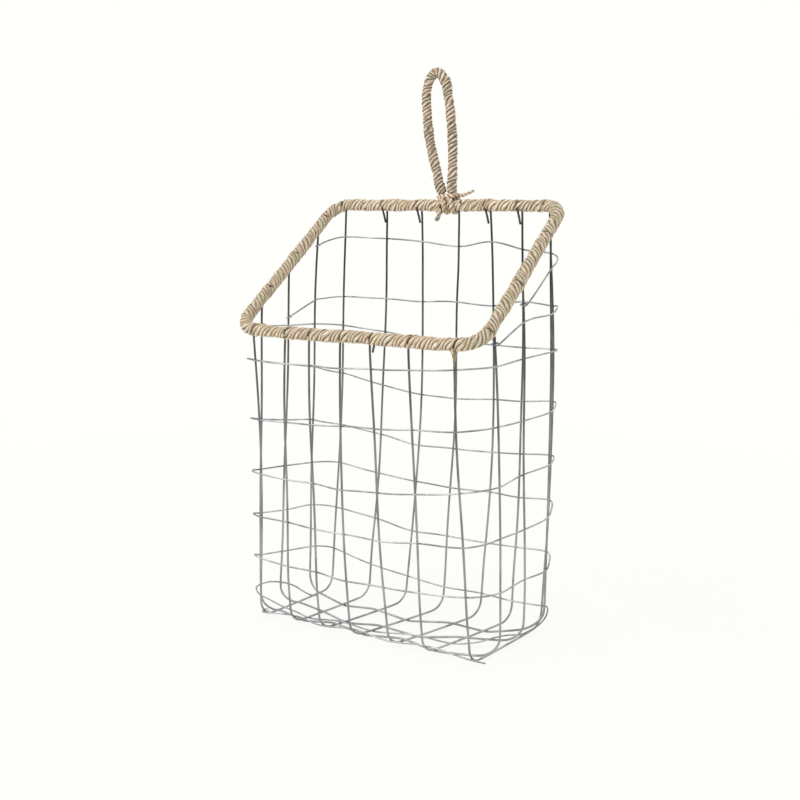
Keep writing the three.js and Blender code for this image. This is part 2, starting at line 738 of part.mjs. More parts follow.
const LEG_FOOT = 13;
const LEG = LEG_SPACING / 2;
const loopLine = (() => {
  const archFoot = LOOP_HEIGHT - LOOP_HALF_WIDTH;
  const leg = [
    [LEG, LEG_FOOT],
    [LEG, COLLAR_TOP],
    [mix(LEG, LOOP_HALF_WIDTH, 0.22), mix(COLLAR_TOP, SPLAY_TOP, 0.3)],
    [mix(LEG, LOOP_HALF_WIDTH, 0.7), mix(COLLAR_TOP, SPLAY_TOP, 0.65)],
    [LOOP_HALF_WIDTH, SPLAY_TOP],
    [LOOP_HALF_WIDTH, mix(SPLAY_TOP, archFoot, 0.5)],
    [LOOP_HALF_WIDTH, archFoot],
  ];
  const archSteps = 12;
  const arch = [];
  for (let i = 1; i < archSteps; i += 1) {
    const angle = Math.PI - (Math.PI * i) / archSteps;
    arch.push(onLoop(Math.cos(angle) * LOOP_HALF_WIDTH, archFoot + Math.sin(angle) * LOOP_HALF_WIDTH));
  }
  const left = leg.map(([across, height]) => onLoop(-across, height));
  const right = leg.map(([across, height]) => onLoop(across, height)).reverse();
  return [...left, ...arch, ...right];
})();

// A point round the back run of the rim: angle 0 points back, 90 degrees up.
function roundBackRun(x, degrees, radius) {
  const angle = radians(degrees);
  return v3(x, LOOP_BASE.y + Math.cos(angle) * radius, LOOP_BASE.z + Math.sin(angle) * radius);
}

// The loop's wire: up from a hook round the rim, over the arch and down to the other hook.
function loopCore() {
  const firstAngle = 50;
  const lastAngle = -195;
  const steps = 7;
  const half = radians((firstAngle - lastAngle) / steps / 2);
  const radius = (ROPE_RADIUS + CLEARANCE + LOOP_WIRE / 2) / Math.cos(half);
  const hook = (x) => {
    const stations = [];
    for (let i = steps; i >= 0; i -= 1) {
      stations.push(roundBackRun(x, mix(firstAngle, lastAngle, i / steps), radius));
    }
    return [...stations, v3(x, LOOP_BASE.y + 0.05 * radius, LOOP_BASE.z + 1.25 * radius)];
  };
  const line = smoothed(loopLine, 6);
  const stations = [...hook(LOOP_X - LEG), ...line, ...hook(LOOP_X + LEG).reverse()];
  return wire(stations, LOOP_WIRE, WIRE_SIDES);
}

// The cord round the loop's wire: a right-handed winding from leg to leg over the arch.
function loopWrap() {
  const curve = new THREE.CatmullRomCurve3(loopLine, false, "centripetal");
  curve.arcLengthDivisions = 800;
  const skipped = WRAP_FOOT - LEG_FOOT;
  const run = curve.getLength();
  const back = v3(0, 1, 0);
  const place = (s, angle, radius) => {
    const t = (s + skipped) / run;
    const side = back.clone().cross(curve.getTangentAt(t)).normalize();
    const centre = curve.getPointAt(t);
    centre.addScaledVector(side, Math.cos(angle) * radius);
    return centre.addScaledVector(back, Math.sin(angle) * radius);
  };
  const { rings, thickness } = winding({
    length: run - 2 * skipped,
    curls: LOOP_CURLS,
    gap: LOOP_CURL_GAP,
    coreRadius: LOOP_WIRE / 2,
    ropeRadius: LOOP_ROPE / 2,
    hand: 1,
    firstAngle: Math.PI / 2,
    closed: false,
    place,
  });
  const whole = straightEnds(rings, thickness);
  const gap = leastGap(whole, CURL_STEPS - 1, CURL_STEPS + 1, false);
  console.log("loop_wrap: least gap to itself", gap.toFixed(2), "mm");
  return skin(whole);
}

// The cord that lashes the loop to the rim: three rings between and beside the legs' hooks, with a
// cut stub below, then up the back, round both legs as a collar, and out to a free end.
function lashingStations() {
  const half = LASHING / 2;
  const ringRadius = (ROPE_RADIUS + CLEARANCE + half) / Math.cos(radians(25));
  const beside = LEG + LOOP_WIRE / 2 + CLEARANCE + half;
  const stations = [
    roundBackRun(LOOP_X - beside - 1.95 * LASHING, 237, ringRadius + 2 * LASHING),
    roundBackRun(LOOP_X - beside - 0.83 * LASHING, 228, ringRadius + 0.75 * LASHING),
  ];
  for (const [ring, across] of [-beside, 0, beside].entries()) {
    const last = ring === 2 ? 375 : 420;
    for (let degrees = ring === 0 ? 240 : 195; degrees <= last; degrees += 45) {
      stations.push(roundBackRun(LOOP_X + across, degrees, ringRadius));
    }
    if (ring === 2) break;
    stations.push(roundBackRun(LOOP_X + across + 0.6, 460, ringRadius));
    stations.push(roundBackRun(LOOP_X + across + beside - 0.6, 510, ringRadius));
  }
  stations.push(v3(LOOP_X + beside, LOOP_BASE.y + 0.92 * ringRadius, LOOP_BASE.z + 0.97 * ringRadius));

  const reach = (LOOP_WIRE / 2 + CLEARANCE + half) / Math.cos(radians(22.5));
  const corners = [67.5, 112.5, 157.5, 202.5, 247.5, 292.5, 337.5, 382.5];
  const steps = COLLAR_TURNS * corners.length;
  for (let k = 0; k <= steps; k += 1) {
    const degrees = corners[k % corners.length];
    const side = degrees > 90 && degrees < 270 ? -1 : 1;
    const x = LOOP_X + side * LEG + Math.cos(radians(degrees)) * reach;
    const y = LOOP_BASE.y + Math.sin(radians(degrees)) * reach;
    stations.push(v3(x, y, LOOP_BASE.z + COLLAR_FOOT + (k / corners.length) * COLLAR_PITCH));
  }
  return stations;
}

function lashing() {
  const stations = lashingStations();
  const collarEnd = stations.at(-1);
  stations.push(
    v3(LOOP_X + 3.9 * LASHING, LOOP_BASE.y + 0.8 * LASHING, collarEnd.z - 0.2 * LASHING),
    v3(LOOP_X + 5.6 * LASHING, LOOP_BASE.y + 0.3 * LASHING, collarEnd.z + 0.1 * LASHING),
    v3(LOOP_X + 7.5 * LASHING, LOOP_BASE.y, collarEnd.z + 0.8 * LASHING),
  );
  const path = new Stations(stations);
  const last = stations.length - 1;
  const { normals, binormals } = path.computeFrenetFrames(last, false);
  const outline = wireSection(LASHING, WIRE_SIDES).getPoints();
  const rings = stations.map((centre, i) => {
    const corner = (p) => centre.clone().addScaledVector(normals[i], p.x).addScaledVector(binormals[i], p.y);
    return outline.map(corner);
  });
  const gap = leastGap(rings, CURL_STEPS - 2, last, false);
  console.log("loop_lashing: least gap to itself", gap.toFixed(2), "mm");
  return skin(rings);
}

const basket = new THREE.Group();

function add(name, geometry, material) {
  const mesh = new THREE.Mesh(geometry, material);
  mesh.name = name;
  basket.add(mesh);
}

add("rim_core", rimCore(), zinc);
add("rim_wrap", rimWrap(), grass);
for (let i = 0; i < FRONT_WIRES.length; i += 1) add(`long_wire_${i + 1}`, longWire(i), zinc);
for (let i = 0; i < FLOOR_RUNS.length; i += 1) add(`cross_wire_${i + 1}`, crossWire(i), zinc);
add("top_weft_upper", topRow(UPPER_ROW, 2, 0), thinZinc);
add("top_weft_lower", topRow(LOWER_ROW, 1, 1), thinZinc);
add("spiral_weft", spiralWeft(), thinZinc);
add("bottom_edge_wire", bottomEdgeWire(), thinZinc);
add("loop_core", loopCore(), zinc);
add("loop_wrap", loopWrap(), grass);
add("loop_lashing", lashing(), lashingGrass);

export default basket;
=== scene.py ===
# %% [markdown]
# # A wire basket with a cord-wound rim
# The real basket is handwork. A thick wire bent into a sloping ring makes the rim, ten more wires
# hang from it in long U shapes, and a thin wire is woven round and round through them. Twisted
# grass cord covers the rim and the loop that the basket hangs by. The packed CAD model comes in
# first: it fixes where each piece is, and all that is made below lies over it at the same size.

# %% Load the frame
import math

import bpy
import numpy as np
from mathutils import Matrix, Vector


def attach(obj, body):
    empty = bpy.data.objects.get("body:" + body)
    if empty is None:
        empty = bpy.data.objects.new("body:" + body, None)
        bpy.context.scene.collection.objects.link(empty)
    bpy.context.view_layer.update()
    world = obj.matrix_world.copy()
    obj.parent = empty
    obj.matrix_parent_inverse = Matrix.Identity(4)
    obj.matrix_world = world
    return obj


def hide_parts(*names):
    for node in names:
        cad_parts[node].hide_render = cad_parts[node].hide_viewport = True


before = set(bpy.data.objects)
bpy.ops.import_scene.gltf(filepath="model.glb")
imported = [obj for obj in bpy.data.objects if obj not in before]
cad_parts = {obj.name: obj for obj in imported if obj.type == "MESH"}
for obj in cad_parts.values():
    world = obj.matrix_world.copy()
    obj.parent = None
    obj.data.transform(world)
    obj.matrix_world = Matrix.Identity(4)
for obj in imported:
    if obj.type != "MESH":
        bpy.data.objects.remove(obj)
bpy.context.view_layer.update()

# %% [markdown]
# Blender works in metres and the basket was measured in millimetres. Sizes stay in millimetres
# here and are turned into metres once, where a mesh is made, so that every number can be held
# against a ruler.

# %% Points in millimetres
MM = 0.001


def at(x, y, z):
    """A point or a direction, in millimetres."""
    return np.array((x, y, z), float)


RIGHT, BACK, UP = at(1, 0, 0), at(0, 1, 0), at(0, 0, 1)


def mix(a, b, share):
    return a + (b - a) * share


def unit(vectors):
    return vectors / np.linalg.norm(vectors, axis=-1, keepdims=True)


def turned(first, second, angle):
    """The first way, turned by an angle towards a second way that is square to it."""
    angle = np.asarray(angle)[..., None]
    return first * np.cos(angle) + second * np.sin(angle)


def smooth_step(value, low, high):
    share = np.clip((value - low) / (high - low), 0, 1)
    return share * share * (3 - 2 * share)


def distances(line):
    """How far along a line each of its points lies."""
    return np.concatenate([[0], np.cumsum(np.linalg.norm(np.diff(line, axis=0), axis=1))])


def put(name, data):
    piece = bpy.data.objects.new(name, data)
    bpy.context.scene.collection.objects.link(piece)
    return piece


print("right, turned halfway to the back, is", turned(RIGHT, BACK, math.radians(45)).round(2))

# %% [markdown]
# The photograph was taken from a little above, with the basket's right front corner turned to the
# lens. A camera can be aimed with a constraint, but here its three axes are written down: then a
# small roll, which a hand-held picture has, is one more angle.

# %% Camera
SENSOR_WIDTH, LENS = 36, 53.78
AZIMUTH, ELEVATION, ROLL = math.radians(32.5), math.radians(9.0), math.radians(0.25)
CAMERA_PLACE = at(580.3, -909.3, 384.9)
level = turned(RIGHT, BACK, AZIMUTH)
towards_lens = turned(turned(-BACK, RIGHT, AZIMUTH), UP, ELEVATION)
upward = np.cross(towards_lens, level)
axes = np.column_stack([turned(level, upward, ROLL), turned(upward, -level, ROLL), towards_lens])
camera = put("camera", bpy.data.cameras.new("camera"))
camera.data.sensor_width, camera.data.lens = SENSOR_WIDTH, LENS
camera.data.clip_start, camera.data.clip_end = 0.02, 60
camera.matrix_world = Matrix.Translation(CAMERA_PLACE * MM) @ Matrix(axes.tolist()).to_4x4()
bpy.context.scene.camera = camera
print("camera", [round(x, 3) for x in camera.location], "lens", LENS)

# %% [markdown]
# Materials are sums on numbers that vary over a surface. Wiring them node by node is slow to write
# and hard to read, so this small class wraps one output of a node: 1 - mask or noise * 0.3 then
# adds the Math node by itself. Colours never pass through it, since a Math node turns them grey.

# %% Numbers that vary over a surface
def sum_node(operation, swapped=False):
    """A method that adds a Math node."""
    def method(self, *others):
        numbers = (*others, self) if swapped else (self, *others)
        return self.recipe.node("ShaderNodeMath", numbers, operation=operation)
    return method


class Value:
    """One number from a node, ready for arithmetic."""

    def __init__(self, recipe, socket):
        self.recipe, self.socket = recipe, socket

    __add__ = __radd__ = sum_node("ADD")
    __mul__ = __rmul__ = sum_node("MULTIPLY")
    __sub__, __rsub__ = sum_node("SUBTRACT"), sum_node("SUBTRACT", swapped=True)
    __truediv__, __mod__ = sum_node("DIVIDE"), sum_node("FLOORED_MODULO")
    floor, size, larger = sum_node("FLOOR"), sum_node("ABSOLUTE"), sum_node("MAXIMUM")

    def between(self, low, high):
        """0 below low, 1 above high and smooth in between."""
        inputs = {"Value": self, 1: low, 2: high}
        return self.recipe.node("ShaderNodeMapRange", inputs, interpolation_type="SMOOTHSTEP")


print("a Value has", [name.strip("_") for name in vars(Value) if callable(vars(Value)[name])])

# %% [markdown]
# A recipe is one material while it is being put together. Its node method makes any node: first
# the settings, which decide what sockets there are, and then the values or links. Colours are
# written as a paint chart gives them and turned into the linear light that Blender computes in.

# %% Recipes for materials
def paint(red, green, blue):
    """A colour written in 0 to 255, as linear light."""
    shares = (channel / 255 for channel in (red, green, blue))
    return *(((c + 0.055) / 1.055) ** 2.4 if c > 0.04 else c / 12.92 for c in shares), 1


class Recipe:
    def __init__(self, owner):
        owner.use_nodes = True
        self.owner, self.tree = owner, owner.node_tree

    def node(self, kind, inputs=(), output=0, **settings):
        node = self.tree.nodes.new(kind)
        for setting, value in settings.items():
            setattr(node, setting, value)
        for socket, value in inputs.items() if isinstance(inputs, dict) else enumerate(inputs):
            self.feed(node.inputs[socket], value)
        return Value(self, node.outputs[output])

    def feed(self, socket, value):
        if isinstance(value, Value):
            self.tree.links.new(value.socket, socket)
        else:
            socket.default_value = value

    def on_object(self):
        """Where a spot is on its object, in metres."""
        return self.node("ShaderNodeTexCoord", output="Object")

    def parts(self, vector):
        """The three numbers of a vector."""
        split = self.node("ShaderNodeSeparateXYZ", (vector,)).socket.node
        return [Value(self, output) for output in split.outputs]

    def place(self, x, y, z=0):
        return self.node("ShaderNodeCombineXYZ", (x, y, z))

    def noise(self, where, scale, detail=2, roughness=0.5):
        inputs = {"Vector": where, "Scale": scale, "Detail": detail, "Roughness": roughness}
        return self.node("ShaderNodeTexNoise", inputs)

    def blend(self, share, first, second):
        """One colour turning into another as share goes from 0 to 1."""
        first, second = (c if isinstance(c, Value) else paint(*c) for c in (first, second))
        inputs = {0: share, 6: first, 7: second}
        return self.node("ShaderNodeMix", inputs, 2, data_type="RGBA", clamp_factor=True)

    def bump(self, height, distance, strength):
        inputs = {"Height": height, "Distance": distance, "Strength": strength}
        return self.node("ShaderNodeBump", inputs)

    def finish(self, **sockets):
        shader = self.tree.nodes["Principled BSDF"]
        for socket, value in sockets.items():
            self.feed(shader.inputs[socket.replace("_", " ")], value)
        print("finish", self.owner.name, "has", len(self.tree.nodes), "nodes")
        return self.owner


# %% [markdown]
# The thick wire is drawn steel with an old zinc coat, a little patchy all over, with fine marks
# from the die and from pliers. Its colour is also painted darker up near the rim and paler down
# towards the floor: painted light, for the light that the bright floor throws onto the lower wires.
# Object coordinates carry the pattern: they stay with the wire when a joint moves, and their third
# number is the height that the painted light goes by. The woven wire is thinner and newer-looking,
# and its palest patches are partly painted highlight. Only its colours differ, so the same recipe
# serves.

# %% Finishes: zinc wire
# Heights in metres over which the painted floor light turns into painted shade.
PAINTED_SHADE_FROM, PAINTED_SHADE_FULL_AT = 0.05, 0.36


def wire_finish(name, shaded_top, floor_lit_bottom, spot, roughness):
    recipe = Recipe(bpy.data.materials.new(name))
    where = recipe.on_object()
    patches = recipe.noise(where, 38, 3, 0.6)
    specks = recipe.noise(where, 420, 2, 0.6)
    patchy, speckled = patches.between(0.36, 0.66), specks.between(0.6, 0.74)
    # Painted light: paler low down, where the bright floor lights the wire, and darker up near the
    # rim.
    floor_lit_colour, shaded_top_colour = recipe.blend(patchy, *floor_lit_bottom), recipe.blend(patchy, *shaded_top)
    height_up = recipe.parts(where)[2]
    colour = recipe.blend(height_up.between(PAINTED_SHADE_FROM, PAINTED_SHADE_FULL_AT), floor_lit_colour, shaded_top_colour)
    return recipe.finish(
        Base_Color=recipe.blend(speckled * 0.4, colour, spot),
        Metallic=0.9,
        Roughness=roughness - 0.12 + patches * 0.24 + speckled * 0.12,
        Normal=recipe.bump(specks * 0.6 + patches * 0.4, 0.00012, 0.7),
    )


thick_zinc = wire_finish(
    "thick_zinc", shaded_top=((56, 56, 58), (82, 82, 84)), floor_lit_bottom=((142, 143, 145), (174, 175, 177)),
    spot=(68, 66, 64), roughness=0.42)

# Its palest patches are partly random tone and partly painted highlight.
thin_zinc = wire_finish(
    "thin_zinc", shaded_top=((118, 119, 122), (176, 178, 180)),
    floor_lit_bottom=((132, 134, 136), (190, 192, 194)), spot=(96, 94, 92), roughness=0.36)

# %% [markdown]
# The cord is dry grass, twisted in the hand. Close by, each strand is a bundle of flat fibres.
# Further off one sees the strands, straw, golden, pinkish or still a little green, and the brown
# shadow between them. The pattern has to follow the strands, so it is drawn in the cord's own map,
# which the mesh carries: one number counts strands across, the other runs along.

# %% Finish: twisted grass
STRAW, GOLD, PINK, OLIVE = (210, 189, 165), (214, 190, 158), (216, 182, 164), (176, 168, 140)
GREY_STRAW, GREY_OLIVE, WEATHERED = (172, 155, 133), (150, 141, 112), (150, 148, 136)
# PALE is the colour of pale fibre streaks and of the painted highlight on strand crests.
PALE, BROWN = (255, 242, 222), (150, 126, 100)
SIDE_RUNS = 0.1, 0.118
# How the plies in a strand lean, and how far they are shifted from strand to strand.
PLY_LEAN, PLY_SHIFT = 0.9, 0.31


def grass_finish(name, strands, patches, tints, gap_shade, plies=3, grey_below=0.0):
    recipe = Recipe(bpy.data.materials.new(name))
    x, _, z = recipe.parts(recipe.on_object())
    count, along, _ = recipe.parts(recipe.node("ShaderNodeUVMap", uv_map="strand"))
    across, which = count % 1, count.floor() % strands
    run = (count / strands + along) * 0.5

    def streaks(detail, *place):
        return recipe.noise(recipe.place(*place), 1, detail)

    # Each strand keeps its own tint for a few turns. The rim's side runs are greener, and carry
    # less painted highlight and painted shade.
    sides = x.size().between(*SIDE_RUNS)
    tint = streaks(1.5, which * 7.3, run * patches)
    green = streaks(1, run * patches * 0.45, which * 3.1, 5).between(0.54, 0.66) * 0.8
    green = green.larger(sides * 0.5)
    colour = recipe.blend(tint.between(0.34, 0.5), tints[0], tints[1])
    colour = recipe.blend(tint.between(0.52, 0.68), colour, tints[2])
    colour = recipe.blend(green, colour, tints[3])
    # Fibres: long thin streaks along the strand, some pale and some dark.
    fibres = recipe.noise(recipe.place(count * 6.5, along * 2.2 * plies / 3), 1, 3, 0.6)
    colour = recipe.blend(fibres.between(0.52, 0.68) * 0.75, colour, PALE)
    colour = recipe.blend((1 - fibres.between(0.3, 0.47)) * 0.55, colour, BROWN)
    # Painted highlight: the crest of a strand is painted pale in patches. Painted shade: the gap
    # beside it is painted brown, and darker in places.
    crest = 1 - (across - 0.42).size().between(0.04, 0.26)
    crest_highlight = streaks(2, run * 5, count.floor() * 2.3, along * 2).between(0.36, 0.56)
    colour = recipe.blend(crest * crest_highlight * (0.9 - sides * 0.3), colour, PALE)
    deep = streaks(2, run * 9, count.floor() * 1.7, along * 3).between(0.38, 0.6)
    shade = (across * 2 - 1).size().between(0.5, 0.98) * (0.4 + deep * 0.6)
    # Painted shade also in the crease where a strand's plies meet.
    ply = ((along * plies + across * PLY_LEAN + which * PLY_SHIFT) % 1 * 2 - 1).size()
    shade = shade.larger(ply.between(0.84, 1.0) * 0.22) * (1 - sides * 0.12)
    # Painted shade: darkest in the slit where a hook is pressed in. Greyish at a cut end below a
    # certain height.
    shade = shade.larger(recipe.node("ShaderNodeAttribute", output="Fac", attribute_name="pressed"))
    weathered = 1 - z.between(grey_below - 0.003, grey_below)
    colour = recipe.blend(weathered * 0.8, colour, WEATHERED)
    return recipe.finish(
        Base_Color=recipe.blend(shade, colour, gap_shade),
        Roughness=0.82 + fibres * 0.16,
        Normal=recipe.bump(fibres, 0.0006, 0.8),
    )


# The last colour given is the painted shade in the gaps between strands.
rim_grass = grass_finish("rim_grass", 5, 1.1, (STRAW, GOLD, PINK, OLIVE), (72, 50, 30))
loop_tints = GREY_OLIVE, GREY_STRAW, PINK, GREY_STRAW
loop_grass = grass_finish("loop_grass", 4, 0.9, loop_tints, (50, 35, 20))
lashing_grass = grass_finish(
    "lashing_grass", 2, 0.6, (STRAW, GOLD, PINK, PINK), (72, 52, 34), plies=2, grey_below=0.382)

# %% [markdown]
# Every wire starts as a list of stations: where it bends, and what it passes. A curve object would
# follow them too, but such a line is needed again to press a slit into the cord, so it is worked
# out as points. The curve is the centripetal kind, which makes no loops where stations lie close.

# %% A smooth line through stations
def smooth_line(stations, step=2.0):
    """Points at even steps on the curve through stations."""
    stations = np.asarray(stations, float)
    p = np.vstack([2 * stations[0] - stations[1], stations, 2 * stations[-1] - stations[-2]])
    knots = np.concatenate([[0], np.cumsum(np.sqrt(np.linalg.norm(np.diff(p, axis=0), axis=1)))])
    parts = []
    for i in range(1, len(p) - 2):
        k = knots[i - 1 : i + 3]
        t = np.linspace(k[1], k[2], 13)[:-1, None]

        def share(first, last):
            return (t - k[first]) / (k[last] - k[first])

        row = [mix(p[i - 1 + j], p[i + j], share(j, j + 1)) for j in range(3)]
        row = [mix(row[j], row[j + 1], share(j, j + 2)) for j in range(2)]
        parts.append(mix(*row, share(1, 2)))
    dense = np.vstack([*parts, stations[-1:]])
    run = distances(dense)
    even = np.linspace(0, run[-1], max(3, round(run[-1] / step) + 1))
    return np.stack([np.interp(even, run, dense[:, k]) for k in range(3)], axis=1)


def frames_along(line):
    """Two ways square to a line, carried from point to point without twist."""
    forward = unit(np.gradient(line, axis=0))
    side = unit(np.cross(forward[0], UP if abs(forward[0][2]) < 0.9 else BACK))
    sides = []
    for way in forward:
        side = unit(side - way * np.dot(side, way))
        sides.append(side)
    return np.array(sides), np.cross(forward, sides)


print("3 stations become", len(smooth_line([at(0, 0, 0), at(7, 3, 0), at(10, 10, 0)])), "points")

# %% [markdown]
# All the meshes are rings of points, joined ring to ring. Blender could bevel a curve into a wire,
# but rings also serve for the cord, whose skin goes in and out, and they can carry the strand map
# that the grass finish needs.

# %% Rings of points into a mesh
def ring_faces(count, sides, closed=False):
    """The quads between rings, and at each open end a face over the last ring."""
    ring, side = np.divmod(np.arange((count if closed else count - 1) * sides), sides)
    here, after, beside = ring * sides, (ring + 1) % count * sides, (side + 1) % sides
    faces = np.stack([here + side, here + beside, after + beside, after + side], 1).tolist()
    if not closed:
        faces += [list(range(sides))[::-1], list(range((count - 1) * sides, count * sides))]
    return faces


def new_piece(name, points, faces):
    mesh = bpy.data.meshes.new(name)
    mesh.from_pydata((points * MM).tolist(), [], faces)
    return put(name, mesh)


def skin(name, rings, chart=None, closed=False, pressed=None):
    """A smooth piece from rings of points. chart is the strand map of all their corners."""
    faces = ring_faces(*rings.shape[:2], closed)
    piece = new_piece(name, rings.reshape(-1, 3), faces)
    mesh = piece.data
    mesh.polygons.foreach_set("use_smooth", [len(face) == 4 for face in faces])
    if chart is not None:
        corners = np.stack([chart[:-1, :-1], chart[:-1, 1:], chart[1:, 1:], chart[1:, :-1]], 2)
        flat = np.zeros((len(mesh.loops), 2), np.float32)
        flat[: corners.size // 2] = corners.reshape(-1, 2)
        mesh.uv_layers.new(name="strand").data.foreach_set("uv", flat.ravel())
    if pressed is not None:
        attribute = mesh.attributes.new("pressed", "FLOAT", "POINT")
        attribute.data.foreach_set("value", pressed.ravel().astype(np.float32))
    mesh.update()
    return piece


def dress(piece, finish, body, slot, *stands_for):
    """Gives a piece its finish, its place among the bodies and the CAD nodes it stands for."""
    piece.data.materials.append(finish)
    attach(piece, body)
    if stands_for:
        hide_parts(*stands_for)
    print(piece.name, "rides on", body, "with", len(piece.data.polygons), "faces")


# %% [markdown]
# A wire is a round tube along its line. Its cut ends show, so they aren't left as sharp discs: the
# last ring is a little smaller, as a nipped end is.

# %% A round wire
NIPPED = 0.72


def round_wire(line, thickness, sides=8):
    start, end = mix(line[0], line[1], 0.2), mix(line[-1], line[-2], 0.2)
    line = np.vstack([line[:1], start, line[1:-1], end, line[-1:]])
    side, other = frames_along(line)
    ring = turned(side[:, None], other[:, None], np.arange(sides) * 2 * math.pi / sides)
    radius = np.full(len(line), thickness / 2)
    radius[[0, -1]] *= NIPPED
    return line[:, None] + ring * radius[:, None, None]


print("rings and sides:", round_wire(smooth_line([at(0, 0, 0), at(9, 3, 0)]), 2).shape[:2])

# %% [markdown]
# The rim is a rounded rectangle on a plane that slopes down from the back to the front. The cord
# asks where it is by the distance along it, and the hooks ask by x or y. Both are plain geometry of
# lines and quarter circles, so no curve object is needed.

# %% The rim's line
RIM_WIDTH, RIM_DEPTH, FRONT_HEIGHT, BACK_HEIGHT, RIM_CORNER = 250, 150, 278, 390, 20
RIM_JOINT_X = -42
SLOPE = math.atan2(BACK_HEIGHT - FRONT_HEIGHT, RIM_DEPTH)
RIM_CENTRE = at(0, 0, (FRONT_HEIGHT + BACK_HEIGHT) / 2)
RIM_LENGTH = RIM_DEPTH / math.cos(SLOPE)
RIM_NORMAL = at(0, -math.sin(SLOPE), math.cos(SLOPE))
half_u, half_v, quarter = RIM_WIDTH / 2 - RIM_CORNER, RIM_LENGTH / 2 - RIM_CORNER, math.pi / 2
RIM_RUN = 4 * (half_u + half_v) + 2 * math.pi * RIM_CORNER


def on_rim_plane(u, v):
    """A step on the sloping plane, u to the right and v up the slope."""
    return np.stack([u, v * math.cos(SLOPE), v * math.sin(SLOPE)], -1)


def rim_at(run):
    """Centre line, ways outward, down and along, at distances from the rim's joint in the back."""
    corner_u, corner_v, angle, before = np.zeros((4, len(run)))
    begin = 0
    # Straight parts, each with the quarter circle after it. The last one ends at the joint.
    for i in range(5):
        straight = 2 * (half_v if i % 2 else half_u) if i else half_u + RIM_JOINT_X
        here = run % RIM_RUN >= begin
        past = run[here] % RIM_RUN - begin - straight
        corner_u[here] = half_u * (1 if i in (2, 3) else -1)
        corner_v[here] = half_v * (-1 if i in (1, 2) else 1)
        angle[here] = (i + 1) * quarter + np.clip(past / RIM_CORNER, 0, quarter)
        before[here] = np.minimum(past, 0)
        begin += straight + quarter * RIM_CORNER
    out_u, out_v = np.cos(angle), np.sin(angle)
    centre = on_rim_plane(corner_u + RIM_CORNER * out_u - before * out_v,
                          corner_v + RIM_CORNER * out_v + before * out_u)
    down = np.broadcast_to(-RIM_NORMAL, centre.shape)
    return RIM_CENTRE + centre, on_rim_plane(out_u, out_v), down, on_rim_plane(-out_v, out_u)


print("the rim is", round(RIM_RUN), "mm round, sloping at", round(math.degrees(SLOPE)), "degrees")

# %% [markdown]
# Nothing on a hand-bent basket is quite straight. A slow wobble of under a millimetre is added to
# every piece alike, as a shift that depends on the place, so wires that touch go on touching. It
# dies away at the floor, where the basket stands flat, and beside the loop, which swings.

# %% The irregularity of handwork
LOOP_X = 5
LOOP_BASE = at(LOOP_X, RIM_DEPTH / 2, BACK_HEIGHT)
BENT_BY = 0.42


def hand_bent(points):
    x, y, z = np.moveaxis(points, -1, 0)
    shift = np.stack([
        np.sin(x / 23 + z / 31 + 0.7) + 0.8 * np.sin(y / 17 - z / 43 + 2.1),
        np.sin(x / 29 - z / 27 + 1.9) + 0.8 * np.sin(y / 21 + z / 39 + 0.3),
        0.8 * np.sin(x / 19 + y / 27 + 4.0) + 0.5 * np.sin(x / 9 + 1.1),
    ], -1)
    from_loop = np.linalg.norm(points - LOOP_BASE, axis=-1)
    free = smooth_step(z, 14, 60) * smooth_step(from_loop, 45, 90)
    return points + BENT_BY * shift * free[..., None]


print("a point on the left wall moves", (hand_bent(at(-125, 0, 150)) - at(-125, 0, 150)).round(2))

# %% [markdown]
# A thick wire stands and a thin one is woven. Each piece of either goes through the same steps,
# from its stations to a finished mesh, so one function makes them all. Where a wire comes down to
# the table it lies on it and not in it.

# %% Two kinds of wire
MESH_WIRE, WEFT_WIRE = 2.0, 1.5
KINDS = {MESH_WIRE: (2.0, 10, thick_zinc, "wire"), WEFT_WIRE: (1.8, 8, thin_zinc, "thin_wire")}


def basket_wire(name, stations, thickness, stands_for):
    step, sides, finish, slot = KINDS[thickness]
    line = hand_bent(smooth_line(stations, step))
    line[:, 2] = np.maximum(line[:, 2], thickness / 2)
    wire = skin(name, round_wire(line, thickness, sides))
    dress(wire, finish, "basket", slot, stands_for)


print("thick and thin:", *KINDS, "mm")

# %% [markdown]
# An upright is the part of a wire between its hook on the rim and its foot at the floor. Each was
# set by eye, so each has its own place at the rim, at mid height and at the floor, and a gentle bow
# between them. It also knows the rim above it, for its hook.

# %% Uprights
FLOOR_FRONT_Y, FLOOR_BACK_Y, BACK_SKEW, HALF_FLOOR, BEND_RADIUS = -60, 58, 8, 124, 16
UNDER_Z, FLOOR_Z, OVER_Z = 1.0, 3.1, 5.2
# Each wall's way outward, and the share of the height at which its middle places are.
WALLS = {"front": (-BACK, 0.5), "back": (BACK, 0.75), "left": (-RIGHT, 0.6), "right": (RIGHT, 0.6)}


